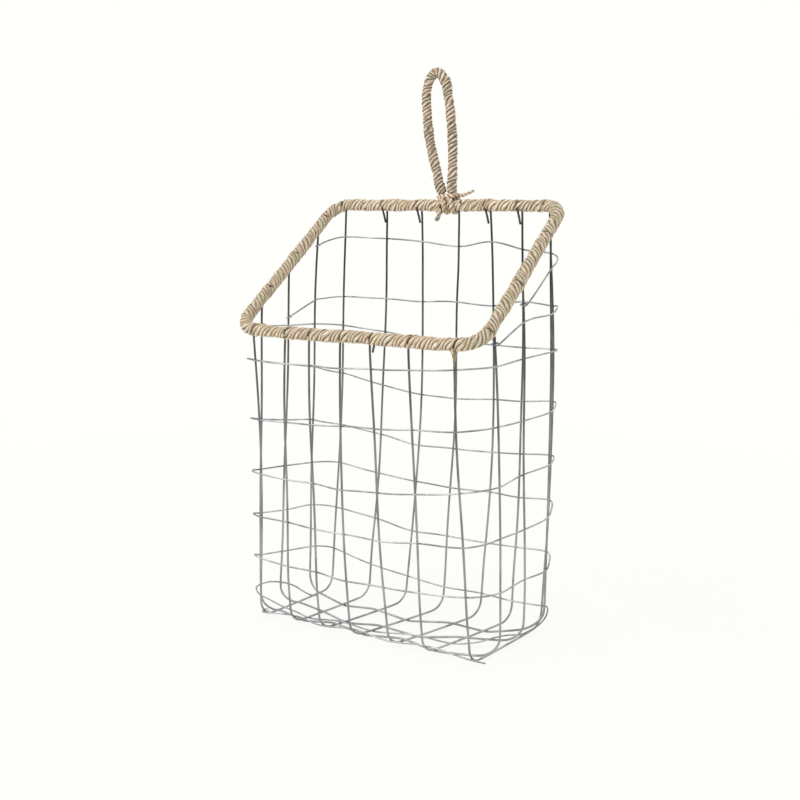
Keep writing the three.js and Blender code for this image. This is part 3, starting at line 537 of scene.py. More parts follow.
class Upright:
    def __init__(self, wall, top, middle, foot):
        self.wall, self.reach, self.middle = wall, (top, middle, foot), middle
        self.outward, self.middle_share = WALLS[wall]
        self.lengthwise = wall in ("front", "back")
        if self.lengthwise:
            y = FLOOR_BACK_Y + BACK_SKEW * foot / HALF_FLOOR if wall == "back" else FLOOR_FRONT_Y
            self.foot = at(foot, y, FLOOR_Z + BEND_RADIUS)
        else:
            self.foot = at(self.outward[0] * HALF_FLOOR, foot, OVER_Z + BEND_RADIUS)
        self.top = self.rim()[0]

    def rim(self, onward=0):
        """The rim's centre, way outward and way along. Onward is to the right from outside."""
        side = 1 if self.wall in ("back", "right") else -1
        if not self.lengthwise:
            v = self.reach[0] / math.cos(SLOPE) + side * onward
            centre = RIM_CENTRE + on_rim_plane(side * RIM_WIDTH / 2, v)
            return centre, self.outward, on_rim_plane(0, side)
        x = self.reach[0] - side * onward
        turn = math.asin(max(0, abs(x) - half_u) / RIM_CORNER) * math.copysign(1, x)
        v = side * (RIM_LENGTH / 2 - RIM_CORNER * (1 - math.cos(turn)))
        along = on_rim_plane(-side * math.cos(turn), math.sin(turn))
        return RIM_CENTRE + on_rim_plane(x, v), turned(side * BACK, RIGHT, turn), along

    def at(self, height):
        share = (height - self.foot[2]) / (self.top[2] - self.foot[2])
        top, middle, foot = self.reach
        bow = middle - mix(foot, top, self.middle_share)
        bow *= share * (1 - share) / (self.middle_share * (1 - self.middle_share))
        point = mix(self.foot, self.top, share)
        point[0 if self.lengthwise else 1] = mix(foot, top, share) + bow
        return point


def stand(wall, *places):
    return [Upright(wall, *place) for place in places]


FRONT = stand("front", (-108, -108, -116), (-72, -79, -81), (-46, -49, -48), (-12, -17, -14),
              (19, 20, 27), (57, 59, 63), (100, 103, 110))
REAR = stand("back", (-111, -109, -112), (-62, -60, -68), (-23, -18, -26), (18, 20, 15),
             (51, 58, 55), (84, 88, 87), (112, 118, 117))
LEFT = stand("left", (-40, -46, -50), (0, -6, -20), (47, 38, 28))
RIGHT_SIDE = stand("right", (-53, -40, -31), (-4, 6, 14), (50, 57, 56))
print(len(FRONT + REAR + LEFT + RIGHT_SIDE), "uprights")

# %% [markdown]
# Each wire ends in a hook pulled tight round the rim before the tail is snipped. It bites so deep
# into the grass cord that only a slit shows, and nothing of most tails. So the hooks run just under
# the cord's surface, and the line above each is kept: the cord gets its slits from those. On the
# sides the hooks lie square to the sloping rim, a little beside their wires.

# %% Hooks pulled into the cord
HOOK_RADIUS, CORD_RADIUS, TAIL_RADIUS = 3.8, 5.2, 6.1
HOOK_SLIDE, LEFT_SLIDE, RIGHT_SLIDE = 5, -5, 1
HOOK_DEGREES, TAIL_DEGREES = range(180, -51, -23), 212
# The length of each tail, 0 where the cord hides it.
FRONT_TAILS, BACK_TAILS = (0, 0, 0, 0, 9.5, 0, 0), (0, 14, 14, 0, 14, 14, 0)
# How far along the rim a hook lies from its wire, how much further its slit lies, and between which
# shares of the turn the slit is open.
HOOKS = {"front": (0, 1.5, 0.3, 0.9), "back": (0, 0, 0.02, 0.5),
         "left": (3, -12, 0.12, 0.34), "right": (-3, -9, 0.36, 0.72)}
hook_lines = []


def hook(upright, slide, tail):
    """Stations from the tail round the rim. The line of the slit is kept."""
    shift, slit_shift, first_open, last_open = HOOKS[upright.wall]
    rising = UP if upright.lengthwise else RIM_NORMAL

    def round_rim(degrees, radius, share, further=0):
        centre, outward, along = upright.rim(share * slide + shift + further)
        way = turned(outward, rising, math.radians(degrees))
        return centre + way * radius / math.sqrt(1 - way.dot(along) ** 2)

    places = list(zip(HOOK_DEGREES, np.linspace(1, 0, len(HOOK_DEGREES))))
    turns = [round_rim(degrees, HOOK_RADIUS, share) for degrees, share in places[:-1]]
    slit = [round_rim(degrees, CORD_RADIUS, share, slit_shift) for degrees, share in places]
    hook_lines.append((smooth_line(slit, 0.5), first_open, last_open))
    if not tail:
        return turns
    _, outward, along = upright.rim()
    inside = round_rim(TAIL_DEGREES, TAIL_RADIUS, 0.5)
    tail_end = inside + tail * (0.22 * outward - 0.95 * UP - 0.03 * slide * along)
    return [tail_end, mix(tail_end, inside, 0.5) + 0.4 * upright.outward, inside] + turns


def half_wire(upright, floor_end, slide, tail=0):
    """Stations from a hook down the wall and in a quarter bend to the floor."""
    top, bend = upright.top[2], []
    heights = [top - 5, top - 10, *np.linspace(top - 15, upright.foot[2], 6)]
    for angle in np.linspace(0, quarter, 7)[1:]:
        bend.append(mix(upright.foot, floor_end, 1 - math.cos(angle)))
        bend[-1][2] = mix(upright.foot[2], floor_end[2], math.sin(angle))
    return hook(upright, slide, tail) + [upright.at(height) for height in heights] + bend


print("tails to be seen:", sum(tail > 0 for tail in FRONT_TAILS + BACK_TAILS))

# %% [markdown]
# Seven wires run from the front wall under the basket and up the back wall. Their uprights aren't
# quite opposite each other, so each wire crosses the floor at a slant. Beside the loop's lashing
# one hook slides the other way, to clear it.

# %% The seven front-to-back wires
BESIDE_LASHING = 3


def long_x(index, y):
    front, back = FRONT[index].foot, REAR[index].foot
    return mix(front[0], back[0], (y - front[1]) / (back[1] - front[1]))


for index, (front, back) in enumerate(zip(FRONT, REAR)):
    near, far = (at(long_x(index, y), y, FLOOR_Z)
                 for y in (front.foot[1] + BEND_RADIUS, back.foot[1] - BEND_RADIUS))
    back_slide = -HOOK_SLIDE if index == BESIDE_LASHING else HOOK_SLIDE
    stations = half_wire(front, near, HOOK_SLIDE, FRONT_TAILS[index])
    stations += half_wire(back, far, back_slide, BACK_TAILS[index])[::-1]
    basket_wire(f"front_to_back_wire_{index + 1}", stations, MESH_WIRE, f"long_wire_{index + 1}")

# %% [markdown]
# Three more wires run from side to side. On the floor they go over one wire and dip under the
# next, down to the table. The basket stands on those low points, so each is level for a little.

# %% The three side-to-side wires
FLOOR_RUNS = [(-41, -42, -41), (-12, -24, 4), (23, 12, 36)]
FLOOR_REACH = HALF_FLOOR - BEND_RADIUS
LEVEL_PART = np.array([-2.2, 0, 2.2])


def run_y(row, x):
    (left, middle, right), share = FLOOR_RUNS[row], x / FLOOR_REACH
    return middle + (right - left) / 2 * share + ((right + left) / 2 - middle) * share * share


def crossing_x(row, index):
    x = long_x(index, 0)
    for _ in range(6):
        x = long_x(index, run_y(row, x))
    return x


for row, (left, right) in enumerate(zip(LEFT, RIGHT_SIDE)):
    left_end, right_end = (at(x, run_y(row, x), OVER_Z) for x in (-FLOOR_REACH, FLOOR_REACH))
    stations = half_wire(left, left_end, LEFT_SLIDE)
    for index in range(1, 6):
        height = OVER_Z if (index + row) % 2 == 0 else UNDER_Z
        stations += [at(x, run_y(row, x), height) for x in crossing_x(row, index) + LEVEL_PART]
    stations += half_wire(right, right_end, RIGHT_SLIDE)[::-1]
    basket_wire(f"side_to_side_wire_{row + 1}", stations, MESH_WIRE, f"cross_wire_{row + 1}")

# %% [markdown]
# The woven wire passes outside one upright and inside the next. Its stops are the uprights and the
# four corners between walls. No wire stands in a corner, so there it springs round in an arc, along
# one wall and then along the next.

# %% Stops of the woven wire
OFFSET = MESH_WIRE / 2 + WEFT_WIRE / 2
CORNER = None
ONCE_ROUND = 2 * (RIM_WIDTH + RIM_DEPTH)
# Each stop, with the share of a turn at which it comes.
STOPS, begin = [], 0
for uprights, wall_length, way in (
        (LEFT, RIM_DEPTH, 1), (REAR, RIM_WIDTH, 1), (RIGHT_SIDE[::-1], RIM_DEPTH, -1),
        (FRONT[::-1], RIM_WIDTH, -1)):
    middle = begin + wall_length / 2
    STOPS += [(upright, (middle + way * upright.middle) / ONCE_ROUND) for upright in uprights]
    begin += wall_length
    STOPS.append((CORNER, begin / ONCE_ROUND))
order = [stop for stop, _ in STOPS if stop]
always_outside = (LEFT[0], REAR[-1], RIGHT_SIDE[-1], FRONT[0])


def passing(upright, height, side_of_wall):
    return upright.at(height) + upright.outward * side_of_wall * OFFSET


def side_of(stop, turn):
    return 1 if stop in always_outside or (order.index(stop) + turn) % 2 == 0 else -1


def woven_line(visits):
    """Stations through a row of visits, each a stop, its height and the side it is passed on."""
    stations = []
    for i, (stop, height, wall_side) in enumerate(visits):
        if stop:
            stations.append(passing(stop, height, wall_side))
            continue
        before, after = visits[i - 1], visits[i + 1]
        start, end = passing(*before), passing(*after)
        x, y = (end[0], start[1]) if before[0].lengthwise else (start[0], end[1])
        corner = at(x, y, 2 * height - (start[2] + end[2]) / 2)
        stations += [mix(mix(start, corner, t), mix(corner, end, t), t) for t in (0.25, 0.5, 0.75)]
    return stations


print("one turn of the woven wire has", len(STOPS), "stops")

# %% [markdown]
# One wire makes nearly six turns. A hand pushed each row down, so the rows are uneven: they sag
# along the long walls and are held up at the corners. At its start the wire is curled most of a
# turn round an upright with pliers.

# %% The spiral down the walls
# Heights of each turn at certain shares of it, in percent of the front's height.
ROW_SHARES = (0, 0.1875, 0.34, 0.49, 0.525, 0.6875, 0.84)
SPIRAL_ROWS = (
    (100.5, 98, 94.5, 94, 94, 93, 90), (90, 81, 74.5, 77, 74.5, 74.5, 71.5),
    (70, 62.5, 57, 59, 57, 56, 50.5), (52, 48, 44, 44, 39.5, 39, 35.5),
    (37, 32, 26.5, 26.5, 21.5, 23, 20), (22.5, 16.5, 9, 7.5))
known_turns = [turn + share for turn, row in enumerate(SPIRAL_ROWS)
               for _, share in zip(row, ROW_SHARES)]
known_heights = [percent / 100 * FRONT_HEIGHT for row in SPIRAL_ROWS for percent in row]
CURL_DEGREES, CURL_RISE, CURL_OPENS = 300, 1.9, 1.5


def row_height(turns):
    return float(np.interp(turns, known_turns, known_heights))


def curl(centre_at, outward, ahead):
    """A wire's end curled round another wire, a little wider at its end."""
    return [
        centre_at(share) + (OFFSET + CURL_OPENS * share)
        * turned(outward, ahead, math.radians(CURL_DEGREES * share))
        for share in np.linspace(0, 1, 8)[1:]
    ]


def curl_round(upright, height):
    return curl(lambda share: upright.at(height + share * CURL_RISE), upright.outward, -BACK)


def floor_pass(index, y, side_of_wire):
    return at(long_x(index, y), y, FLOOR_Z + side_of_wire * OFFSET)


last_turn = len(SPIRAL_ROWS) - 1
visits = [(stop, row_height(turn + share), stop and side_of(stop, turn))
          for turn in range(last_turn + 1) for stop, share in STOPS
          if turn < last_turn or share <= 0.5]
visits.append((RIGHT_SIDE[2], 15, 1))
spiral = curl_round(LEFT[0], row_height(STOPS[0][1]))[::-1] + woven_line(visits)
print("down to", round(spiral[-1][2]), "mm above the table in", len(spiral), "stations")

# %% [markdown]
# At the bottom the same wire turns in over the floor, is threaded through it from right to left,
# comes out at the front left corner and goes back in along the left wall.

# %% The spiral across the floor
over = FLOOR_Z + OFFSET
spiral += [
    at(HALF_FLOOR + 1, 42, 11), at(HALF_FLOOR - 4, 33, over + 2.5), floor_pass(6, 27, 1),
    at(107, 18, over + 0.6), at(101, run_y(1, 101), OVER_Z + OFFSET), at(92, -10, FLOOR_Z + 1.5),
    floor_pass(5, -18, -1), floor_pass(4, -27, 1), floor_pass(3, -31, -1), floor_pass(2, -34, 1),
    floor_pass(1, -34, -1), at(-93, -34, FLOOR_Z + 1), at(-106, -41, 10), at(-114, -49, 17),
    at(-121, -57, 24), at(-HALF_FLOOR - 3.2, -53, 28), at(-HALF_FLOOR - OFFSET, -38, 29.5),
    passing(LEFT[1], 25, -1), at(-HALF_FLOOR + 1.5, 2, 15), at(-119, 9, 9), floor_pass(0, 14, 1),
    at(-106, 17, FLOOR_Z + 1),
]
basket_wire("spiral_wire", spiral, WEFT_WIRE, "spiral_weft")

# %% [markdown]
# Two short rows close the tall part of the walls. Each starts and ends with a curl round a side
# upright, and follows the rim's slope rather than the floor.

# %% The two short rows under the rim
def short_row(name, stands_for, first_stop, turn, drops):
    """A row from one stop on, at a drop below the rim at each stop, curled in at both ends."""
    visits = []
    for i, ((stop, _), drop) in enumerate(zip(STOPS[first_stop:], drops)):
        height = (stop.top[2] if stop else BACK_HEIGHT) - drop
        at_end = i in (0, len(drops) - 1)
        visits.append((stop, height, stop and (1 if at_end else side_of(stop, turn))))
    start, end = (curl_round(*visits[i][:2]) for i in (0, -1))
    basket_wire(name, start[::-1] + woven_line(visits) + end, WEFT_WIRE, stands_for)


short_row("short_row_upper", "top_weft_upper", 2, 0,
          (19, 34, 31, 32, 34, 38, 33, 39, 42, 47, 35, 25))
short_row("short_row_lower", "top_weft_lower", 1, 1,
          (51, 71, 91, 90, 90, 91, 90, 92, 86, 89, 90, 76, 38, 18))

# %% [markdown]
# The last wire is a loose length threaded through the front's bends at the floor. It is curled
# round the left one, and its other end stands free.

# %% The wire along the front edge
EDGE_FREE_END = 14
edge_out, edge_down = unit(at(0, -1, -1)), unit(at(0, 1, -1))
bends = [upright.foot + at(0, BEND_RADIUS, 0) + edge_out * BEND_RADIUS for upright in FRONT]
stations = curl(lambda share: bends[0] + edge_down * share * CURL_RISE, edge_out, -RIGHT)[::-1]
stations += [centre + edge_out * OFFSET * (-1) ** i for i, centre in enumerate(bends)]
stations += [stations[-1] + EDGE_FREE_END * RIGHT]
basket_wire("front_edge_wire", stations, WEFT_WIRE, "bottom_edge_wire")

# %% [markdown]
# Now the cord. It could be modelled strand by strand, but nearly two hundred rounds of strand are
# hard to lay without gaps. From outside a wound cord is one skin with ridges, so it is made as
# that: a tube whose radius rises over each strand and drops between them. Seeded wobbles make some
# strands fat, some thin, and some ride over their neighbours, as hand winding does.

# %% Seeded wobble
def wobble(run, seed, longest, shortest, closes_at=None, waves=6):
    """A smooth uneven wave along a run, mostly between -1 and 1."""
    dice = np.random.default_rng(seed)
    total = 0
    for k in range(waves):
        length = longest * (shortest / longest) ** (k / (waves - 1))
        if closes_at:
            length = closes_at / round(closes_at / length)
        strength, start = dice.uniform(0.5, 1), dice.uniform(0, 1)
        total = total + strength * np.sin(2 * math.pi * (run / length + start))
    return total / (1.1 * math.sqrt(waves / 2))


print("ten steps of it:", wobble(np.arange(10) * 4.0, 3, 60, 10).round(1))

# %% [markdown]
# The skin of a wound cord takes a core line, with two ways square to it, and the number of strands
# side by side. Strands that share one winding slant more than one strand would, and that slant is
# what the photograph shows. Each is itself twisted from plies, and the crease between them shows as
# a short dash across the strand.

# %% The skin of a wound cord
STRANDS_ON_RIM, SIDE_BY_SIDE = 195, 5
RIM_LEAD = SIDE_BY_SIDE * RIM_RUN / STRANDS_ON_RIM
PLIES = 3
# Unevenness: how many strands one strand wanders, and the millimetres it rises, creases and swells.
WANDER, PROUD, CREASE, SWELL = 0.3, 0.3, 0.24, 0.22


def wound_cord(core, run, press, *, lead, hand, radius, depth, strands, seed, seam, around,
               paired=0.0, closes_at=None):
    """Rings, strand map and pressed shares. Strands advance by lead in one turn of the winding."""
    centre, side, other, _ = core
    s, v = np.meshgrid(run, np.arange(around + 1) / around, indexing="ij")
    angle = 2 * math.pi * v + math.radians(seam)

    def uneven(number, longest, shortest, where=s):
        return wobble(where, seed + number, longest, shortest, closes_at)

    # Strands wander sideways, and some ride high for a while.
    slip = WANDER * uneven(0, 60, 11) + 0.07 * np.sin(angle + 5 * uneven(1, 90, 30))
    count = strands * (s / lead - hand * v) + slip
    along = s / lead + hand * v
    across, which = count % 1, np.floor(count) % strands
    shifted = s + 3 * np.sin(angle)
    proud = sum((which == j) * uneven(10 + j, 80, 12, shifted) for j in range(strands))
    # Each has a round crest, creased where its plies meet.
    crest = 1 - np.abs(2 * across - 1) ** 2.4
    ply = (PLIES * along + PLY_LEAN * across + PLY_SHIFT * which) % 1
    twist = 1 - np.abs(2 * ply - 1) ** 3
    height = radius + depth * (crest - 0.62) + PROUD * proud * mix(0.4, 1, crest)
    height += CREASE * (twist - 0.7) * crest + SWELL * uneven(2, 110, 25)
    height += paired * (0.6 - np.abs(count % 2 - 1) ** 2)
    way = turned(side[:, None], other[:, None], angle)
    height, pressed = press(centre[:, None] + way * radius, height)
    rings = centre[:, None] + way * height[..., None]
    return rings[:, :-1], np.stack([count, along], -1), pressed[:, :-1]


slant = math.degrees(math.atan2(RIM_LEAD, 2 * math.pi * CORD_RADIUS))
print("strands beside each other lie", round(slant), "degrees off square")

# %% [markdown]
# Each hook cuts a slit into the rim's cord and squeezes it up on both sides. The slit shows over a
# part of its way, which differs from hook to hook. How far a spot is pressed in is also stored on
# the mesh, because the finish paints shade into the slit by it. Under the loop's lashing the cord
# is held down a little, so that the lashing lies on it and not in it.

# %% Press the hooks into the cord
HOOK_AREA = 19
SLIT_FLOOR, SLIT_EDGE, SLIT_DEPTH, CLOSED_SLIT = 0.4, 0.55, 1.5, 0.15
BULGE_HEIGHT, BULGE_AT, BULGE_WIDTH = 0.45, 2.1, 1.0
HELD_RADIUS, HELD_TO, FREE_FROM = 4.95, 11.5, 14
RING_STEP = 0.46


def hill(distance, width):
    return np.exp(-((distance / width) ** 2))


def press_hooks(surface, height):
    middles = surface.mean(axis=1)
    pressed = np.zeros_like(height)
    dice = np.random.default_rng(29)
    for line, first_open, last_open in hook_lines:
        near = np.linalg.norm(middles - line.mean(axis=0), axis=1) < HOOK_AREA
        distance = np.linalg.norm(surface[near][:, :, None] - line[None, None], axis=-1)
        away, share = distance.min(axis=-1), distance.argmin(axis=-1) / (len(line) - 1)
        first, last = first_open + dice.uniform(-0.04, 0.06), last_open + dice.uniform(-0.12, 0.04)
        is_open = smooth_step(share, first - 0.05, first + 0.05)
        is_open *= 1 - smooth_step(share, last, last + 0.08)
        slit = hill(np.maximum(away - SLIT_FLOOR, 0), SLIT_EDGE) * mix(CLOSED_SLIT, 1, is_open)
        height[near] += BULGE_HEIGHT * hill(away - BULGE_AT, BULGE_WIDTH) - SLIT_DEPTH * slit
        pressed[near] = np.maximum(pressed[near], slit)
    held = 1 - smooth_step(np.abs(surface[..., 0] - LOOP_X), HELD_TO, FREE_FROM)
    held *= surface[..., 1] > RIM_DEPTH / 4
    return mix(height, np.minimum(height, HELD_RADIUS), held), pressed


rings_on_rim = round(RIM_RUN / RING_STEP)
rim_run = np.arange(rings_on_rim + 1) * RIM_RUN / rings_on_rim
rim_frame = rim_at(rim_run)
rings, chart, pressed = wound_cord(
    rim_frame, rim_run, press_hooks, lead=RIM_LEAD, hand=-1, radius=CORD_RADIUS, depth=1.2,
    strands=SIDE_BY_SIDE, seed=11, seam=135, around=52, closes_at=RIM_RUN)
rim_cord = skin("rim_cord", hand_bent(rings[:-1]), chart, closed=True, pressed=pressed[:-1])
dress(rim_cord, rim_grass, "basket", "cord", "rim_wrap")

# %% [markdown]
# The hanging loop is a wire bent into a tall narrow arch. It leans to the left, and its legs come
# together above the rim and hook round it. No circle or straight line is in it, so its stations are
# simply read off along it: across and up from the rim.

# %% The loop's line
LOOP_WIRE, LEG, LEG_FOOT, LOOP_STEP = 2.8, 4.9, 11, 0.45
LOOP_STATIONS = [
    (-5.4, LEG_FOOT), (-8.8, 20), (-12.2, 33), (-16, 46), (-18.9, 57), (-21.3, 71), (-23, 88),
    (-23.8, 99), (-22.6, 110.5), (-18.6, 118.6), (-12.2, 122.2), (-6.6, 118.8), (-2.2, 111),
    (-0.2, 101), (2, 88), (3.7, 75), (4.9, 61), (5.5, 47), (5.3, 33), (4.9, 20), (4.9, LEG_FOOT)]
stations = [LOOP_BASE + at(across, 0, height) for across, height in LOOP_STATIONS]
loop_line = smooth_line(stations, LOOP_STEP)
loop_run = distances(loop_line)
print("the loop's line is", round(loop_run[-1]), "mm long")


def round_back_run(x, degrees, radius):
    """A point round the rim's back run: angle 0 points back and 90 degrees up."""
    return at(x, *LOOP_BASE[1:]) + radius * turned(BACK, UP, math.radians(degrees))


def loop_hook(x, radius):
    turns = [round_back_run(x, degrees, radius) for degrees in range(-195, 51, 35)]
    return turns + [at(x, *LOOP_BASE[1:]) + at(0, 0.4, 9.4)]


left_hook, right_hook = loop_hook(LOOP_X - LEG, radius=4.5), loop_hook(LOOP_X + LEG, radius=4.0)
stations = left_hook + list(loop_line[::12]) + right_hook[::-1]
loop_wire = skin("loop_wire", round_wire(smooth_line(stations, 1.5), LOOP_WIRE, 12))
dress(loop_wire, thick_zinc, "loop", "wire", "loop_core")

# %% [markdown]
# The same skin serves for the loop's cord, wound the other way round on a smaller wire. Its ends
# are drawn in to the wire, where the real cord is tucked under its last turn.

# %% The loop's cord
TUCKED_RADIUS, TUCK_LENGTH = 2.6, 2
loop_forward = unit(np.gradient(loop_line, axis=0))
loop_side = unit(np.cross(BACK, loop_forward))
loop_frame = loop_line, loop_side, np.broadcast_to(BACK, loop_line.shape), loop_forward


def tuck_ends(surface, height):
    from_end = np.minimum(loop_run, loop_run[-1] - loop_run)[:, None]
    share = np.sqrt(np.clip(from_end / TUCK_LENGTH, 0, 1))
    return mix(np.minimum(TUCKED_RADIUS, height), height, share), np.zeros_like(height)


rings, chart, _ = wound_cord(
    loop_frame, loop_run, tuck_ends, lead=15.2, hand=1, radius=4.1, depth=1.0, strands=4, seed=41,
    seam=90, around=44, paired=0.5)
dress(skin("loop_cord", rings, chart), loop_grass, "loop", "cord", "loop_wrap")

# %% [markdown]
# A length of the same grass, twisted from two plies, lashes the loop to the rim: three rings round
# the rim, up the back, once round both legs as a collar, and out to a snipped end. A turn can be
# made from an angle and a radius, so only the stub and the free tail are listed point by point.

# %% The lashing
LASHING = 3.6
half = LASHING / 2
ring_radius = HELD_RADIUS - 0.1 + half
beside = LEG + LOOP_WIRE / 2 + 0.2 + half
collar_reach = LOOP_WIRE / 2 + 0.9 + half
COLLAR_FOOT, COLLAR_RISE, COLLAR_STEPS = 6.9, 3.3, 8
stub = [at(-beside - 1, -4.5, -14), at(-beside + 3.4, -7, -9), at(-beside + 3.2, -7.2, -4.6)]
tail = [at(13.5, 2.9, 9.2), at(20.5, 1.1, 10.8), at(28.5, 0, 13.6)]
stations = [LOOP_BASE + place for place in stub]
for across, first, last in ((-beside, 240, 420), (0, 195, 420), (beside, 195, 375)):
    for degrees in range(first, last + 1, 45):
        stations.append(round_back_run(LOOP_X + across, degrees, ring_radius))
    # Over the top and on to the next ring.
    if across < beside:
        stations.append(round_back_run(LOOP_X + across + 0.6, 460, ring_radius + 0.5))
        stations.append(round_back_run(LOOP_X + across + beside - 0.6, 510, ring_radius + 0.5))
stations.append(LOOP_BASE + at(beside, 0.92 * ring_radius, 0.97 * ring_radius))
for k in range(COLLAR_STEPS + 1):
    degrees = 67.5 + 45 * (k % COLLAR_STEPS)
    x, z = -LEG if 90 < degrees < 270 else LEG, COLLAR_FOOT + COLLAR_RISE * k / COLLAR_STEPS
    way = turned(RIGHT, BACK, math.radians(degrees))
    stations.append(LOOP_BASE + at(x, 0, z) + collar_reach * way)
stations += [LOOP_BASE + place for place in tail]
lashing_line = smooth_line(stations, 0.5)
print("the lashing is", round(distances(lashing_line)[-1]), "mm of cord")

# %% [markdown]
# A two-ply cord has a section like a peanut that turns as it goes. That is again a matter of
# radius: the surface rises over each ply and drops between them, and the drop moves round.

# %% Two plies round each other
TAIL, TAIL_TIP, TAIL_THINNING = 26, 8, 0.35


def two_ply(line, thickness, pitch, seed, around=20):
    """Rings and strand map. The cord thins along its tail and is rounded off at both ends."""
    side, other = frames_along(line)
    run = np.arange(len(line)) * np.linalg.norm(line[1] - line[0])
    s, v = np.meshgrid(run, np.arange(around + 1) / around, indexing="ij")
    round_plies = (v - s / pitch) * 2 * math.pi
    height = 0.7 + 0.3 * np.abs(np.cos(round_plies)) ** 0.7 + 0.07 * wobble(s, seed, 30, 5)
    height *= thickness / 2 * mix(0.55, 1, smooth_step(np.minimum(s, run[-1] - s), 0, 1.2))
    height *= 1 - TAIL_THINNING * smooth_step(s, run[-1] - TAIL, run[-1] - TAIL_TIP)
    way = turned(side[:, None], other[:, None], 2 * math.pi * v)
    chart = np.stack([2 * (v - s / pitch) + 0.5, s / pitch + v], -1)
    return (line[:, None] + way * height[..., None])[:, :-1], chart


rings, chart = two_ply(lashing_line, thickness=LASHING + 0.8, pitch=8.5, seed=5)
lashing = skin("lashing_cord", rings, chart)
dress(lashing, lashing_grass, "loop", "lashing_cord", "loop_lashing")

# %% [markdown]
# Dry grass frays. Loose fibres stand out of the cord, and a small tuft hangs down beside the last
# upright of the front, where a strand has come undone. Each fibre is a thin tapering tube, and all
# the fibres of a cord are one mesh.

# %% Loose fibres
FIBRE, TUFT_FIBRE, FREE_OF_LOOP = 0.2, 0.7, 24


def fibre(root, way, length, thickness, droop=0):
    share = np.linspace(0, 1, 6)[:, None]
    rings = round_wire(root + way * length * share + droop * length * share**2, thickness, 3)
    middle = rings.mean(axis=1, keepdims=True)
    return middle + (rings - middle) * np.linspace(1, 0.25, len(rings))[:, None, None]


def bundle(name, fibres):
    """Many fibres as one mesh."""
    faces, start = [], 0
    for rings in fibres:
        faces += [[start + i for i in face] for face in ring_faces(*rings.shape[:2])]
        start += rings.shape[0] * rings.shape[1]
    return new_piece(name, np.concatenate([rings.reshape(-1, 3) for rings in fibres]), faces)


def stray_fibres(core, radius, count, seed):
    dice = np.random.default_rng(seed)
    fibres = []
    for _ in range(count):
        i = dice.integers(3, len(core[0]) - 3)
        centre, side, other, forward = (part[i] for part in core)
        outward = turned(side, other, dice.uniform(0, 2 * math.pi))
        way = forward * dice.uniform(-1, 1) + outward * dice.uniform(0.15, 0.7)
        way = unit(way + np.cross(forward, outward))
        root = centre + outward * radius
        fibres.append(fibre(root, way, dice.uniform(2.5, 7), FIBRE, -0.35 * outward))
    return fibres


def tuft(upright, count, seed):
    """Fibres from under the rim that come together on an upright."""
    dice = np.random.default_rng(seed)
    fibres, under = [], upright.rim(1.5)[0]
    for _ in range(count):
        root = under + at(dice.uniform(-4, 3.5), dice.uniform(-3.5, -1), -4.6)
        target = upright.at(under[2] - dice.uniform(13, 19))
        target += at(dice.uniform(-1, 1), dice.uniform(-1.2, 0.2), 0)
        length = np.linalg.norm(target - root)
        fibres.append(fibre(root, (target - root) / length, length, TUFT_FIBRE))
    return fibres


recipe = Recipe(bpy.data.materials.new("dry_fibre"))
patches = recipe.noise(recipe.on_object(), 90).between(0.4, 0.6)
colour = recipe.blend(patches, (196, 178, 146), (160, 150, 116))
dry_fibre = recipe.finish(Base_Color=colour, Roughness=0.8)
spots = [part[:-1:2] for part in rim_frame]
free = np.linalg.norm(spots[0] - LOOP_BASE, axis=1) > FREE_OF_LOOP
fibres = stray_fibres([part[free] for part in spots], radius=5.5, count=150, seed=3)
fibres += tuft(FRONT[6], count=26, seed=8)
dress(bundle("rim_fibres", [hand_bent(rings) for rings in fibres]), dry_fibre, "basket", "cord")
fibres = stray_fibres(loop_frame, radius=4.4, count=60, seed=4)
dress(bundle("loop_fibres", fibres), dry_fibre, "loop", "cord")

# %% [markdown]
# One CAD node stays: the rim's own wire, which the cord closes in all round. It could be drawn
# anew, but nothing of it is uneven, so it only takes the thick wire's finish.

# %% The carried-over wire
rim_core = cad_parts["rim_core"]
for material_slot in rim_core.material_slots:
    material_slot.material = thick_zinc
print("rim_core finished with", rim_core.material_slots[0].material.name)

# %% [markdown]
# The photograph shows no room: white all round, and light from everywhere with a little more from
# above left. The world lights the object at a plain level, and is pure white only for the camera
# and for reflections. The floor does the same and still takes a soft shadow.

# %% Floor and world
BACKGROUND, AMBIENT = paint(255, 255, 251), 0.68


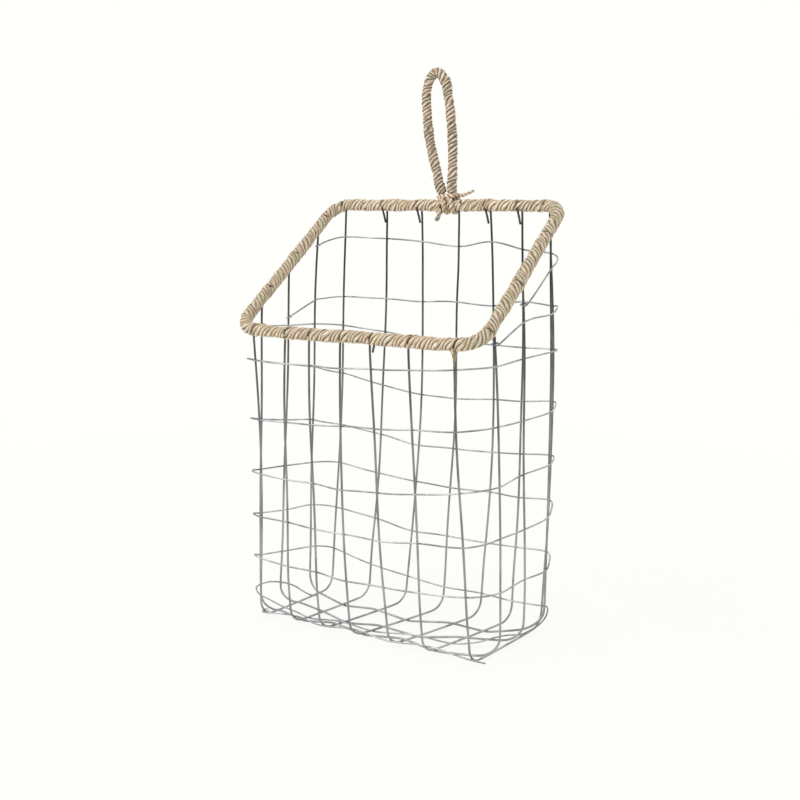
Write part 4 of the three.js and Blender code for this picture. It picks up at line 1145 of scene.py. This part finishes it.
def looked_at(recipe):
    """1 for rays from the camera, straight or by way of something shiny or clear, and else 0."""
    rays = recipe.tree.nodes.new("ShaderNodeLightPath").outputs
    camera_ray, glossy_ray, clear_ray = (
        Value(recipe, rays[f"Is {kind} Ray"]) for kind in ("Camera", "Glossy", "Transmission"))
    return camera_ray.larger(glossy_ray).larger(clear_ray)


recipe = Recipe(bpy.data.materials.new("pale_floor"))
where = recipe.on_object()
grain = recipe.noise(where, 6, 3).between(0.2, 0.8)
colour = recipe.blend(grain, (240, 240, 236), (246, 246, 242))
pale_floor = recipe.finish(Base_Color=colour, Roughness=0.9)
plain = Value(recipe, recipe.tree.nodes["Principled BSDF"].outputs[0])
glow = recipe.node("ShaderNodeEmission", {"Color": BACKGROUND, "Strength": 1.0})
# Away from the basket the floor turns into the background, so no horizon shows.
far = recipe.node("ShaderNodeVectorMath", (where,), "Value", operation="LENGTH")
share = looked_at(recipe) * (0.88 + far.between(0.35, 1.3) * 0.12)
mixed = recipe.node("ShaderNodeMixShader", (share, plain, glow))
recipe.feed(recipe.tree.nodes["Material Output"].inputs["Surface"], mixed)

bpy.ops.mesh.primitive_plane_add(size=12)
floor = bpy.context.object
floor.name = "floor"
floor.location.z = -0.0001
floor.data.materials.append(pale_floor)

world = bpy.data.worlds.new("studio")
bpy.context.scene.world = world
sky = Recipe(world)
background = sky.tree.nodes["Background"]
sky.feed(background.inputs["Color"], BACKGROUND)
sky.feed(background.inputs["Strength"], looked_at(sky).larger(AMBIENT))
bpy.context.scene.view_settings.view_transform = "Standard"
print("world ambient", AMBIENT)

# %% [markdown]
# Three area lamps do the rest: a large one above left as the main light, a weak one from the right
# so that no side is flat black, and one behind that picks out the cord's edge.

# %% Lamps
AIM = Vector((0, 0, 0.25))


def lamp(name, place, size, power):
    light = bpy.data.lights.new(name, "AREA")
    light.size, light.energy = size, power
    piece = put(name, light)
    piece.location = place
    piece.rotation_euler = (Vector(place) - AIM).to_track_quat("Z", "Y").to_euler()
    print("lamp", name, power, "W")


lamp("main_light", (-0.9, -1.3, 1.7), 1.0, 19)
lamp("side_light", (1.7, -0.6, 0.8), 1.2, 3)
lamp("back_light", (0.3, 1.6, 1.3), 1.0, 6)

# %% [markdown]
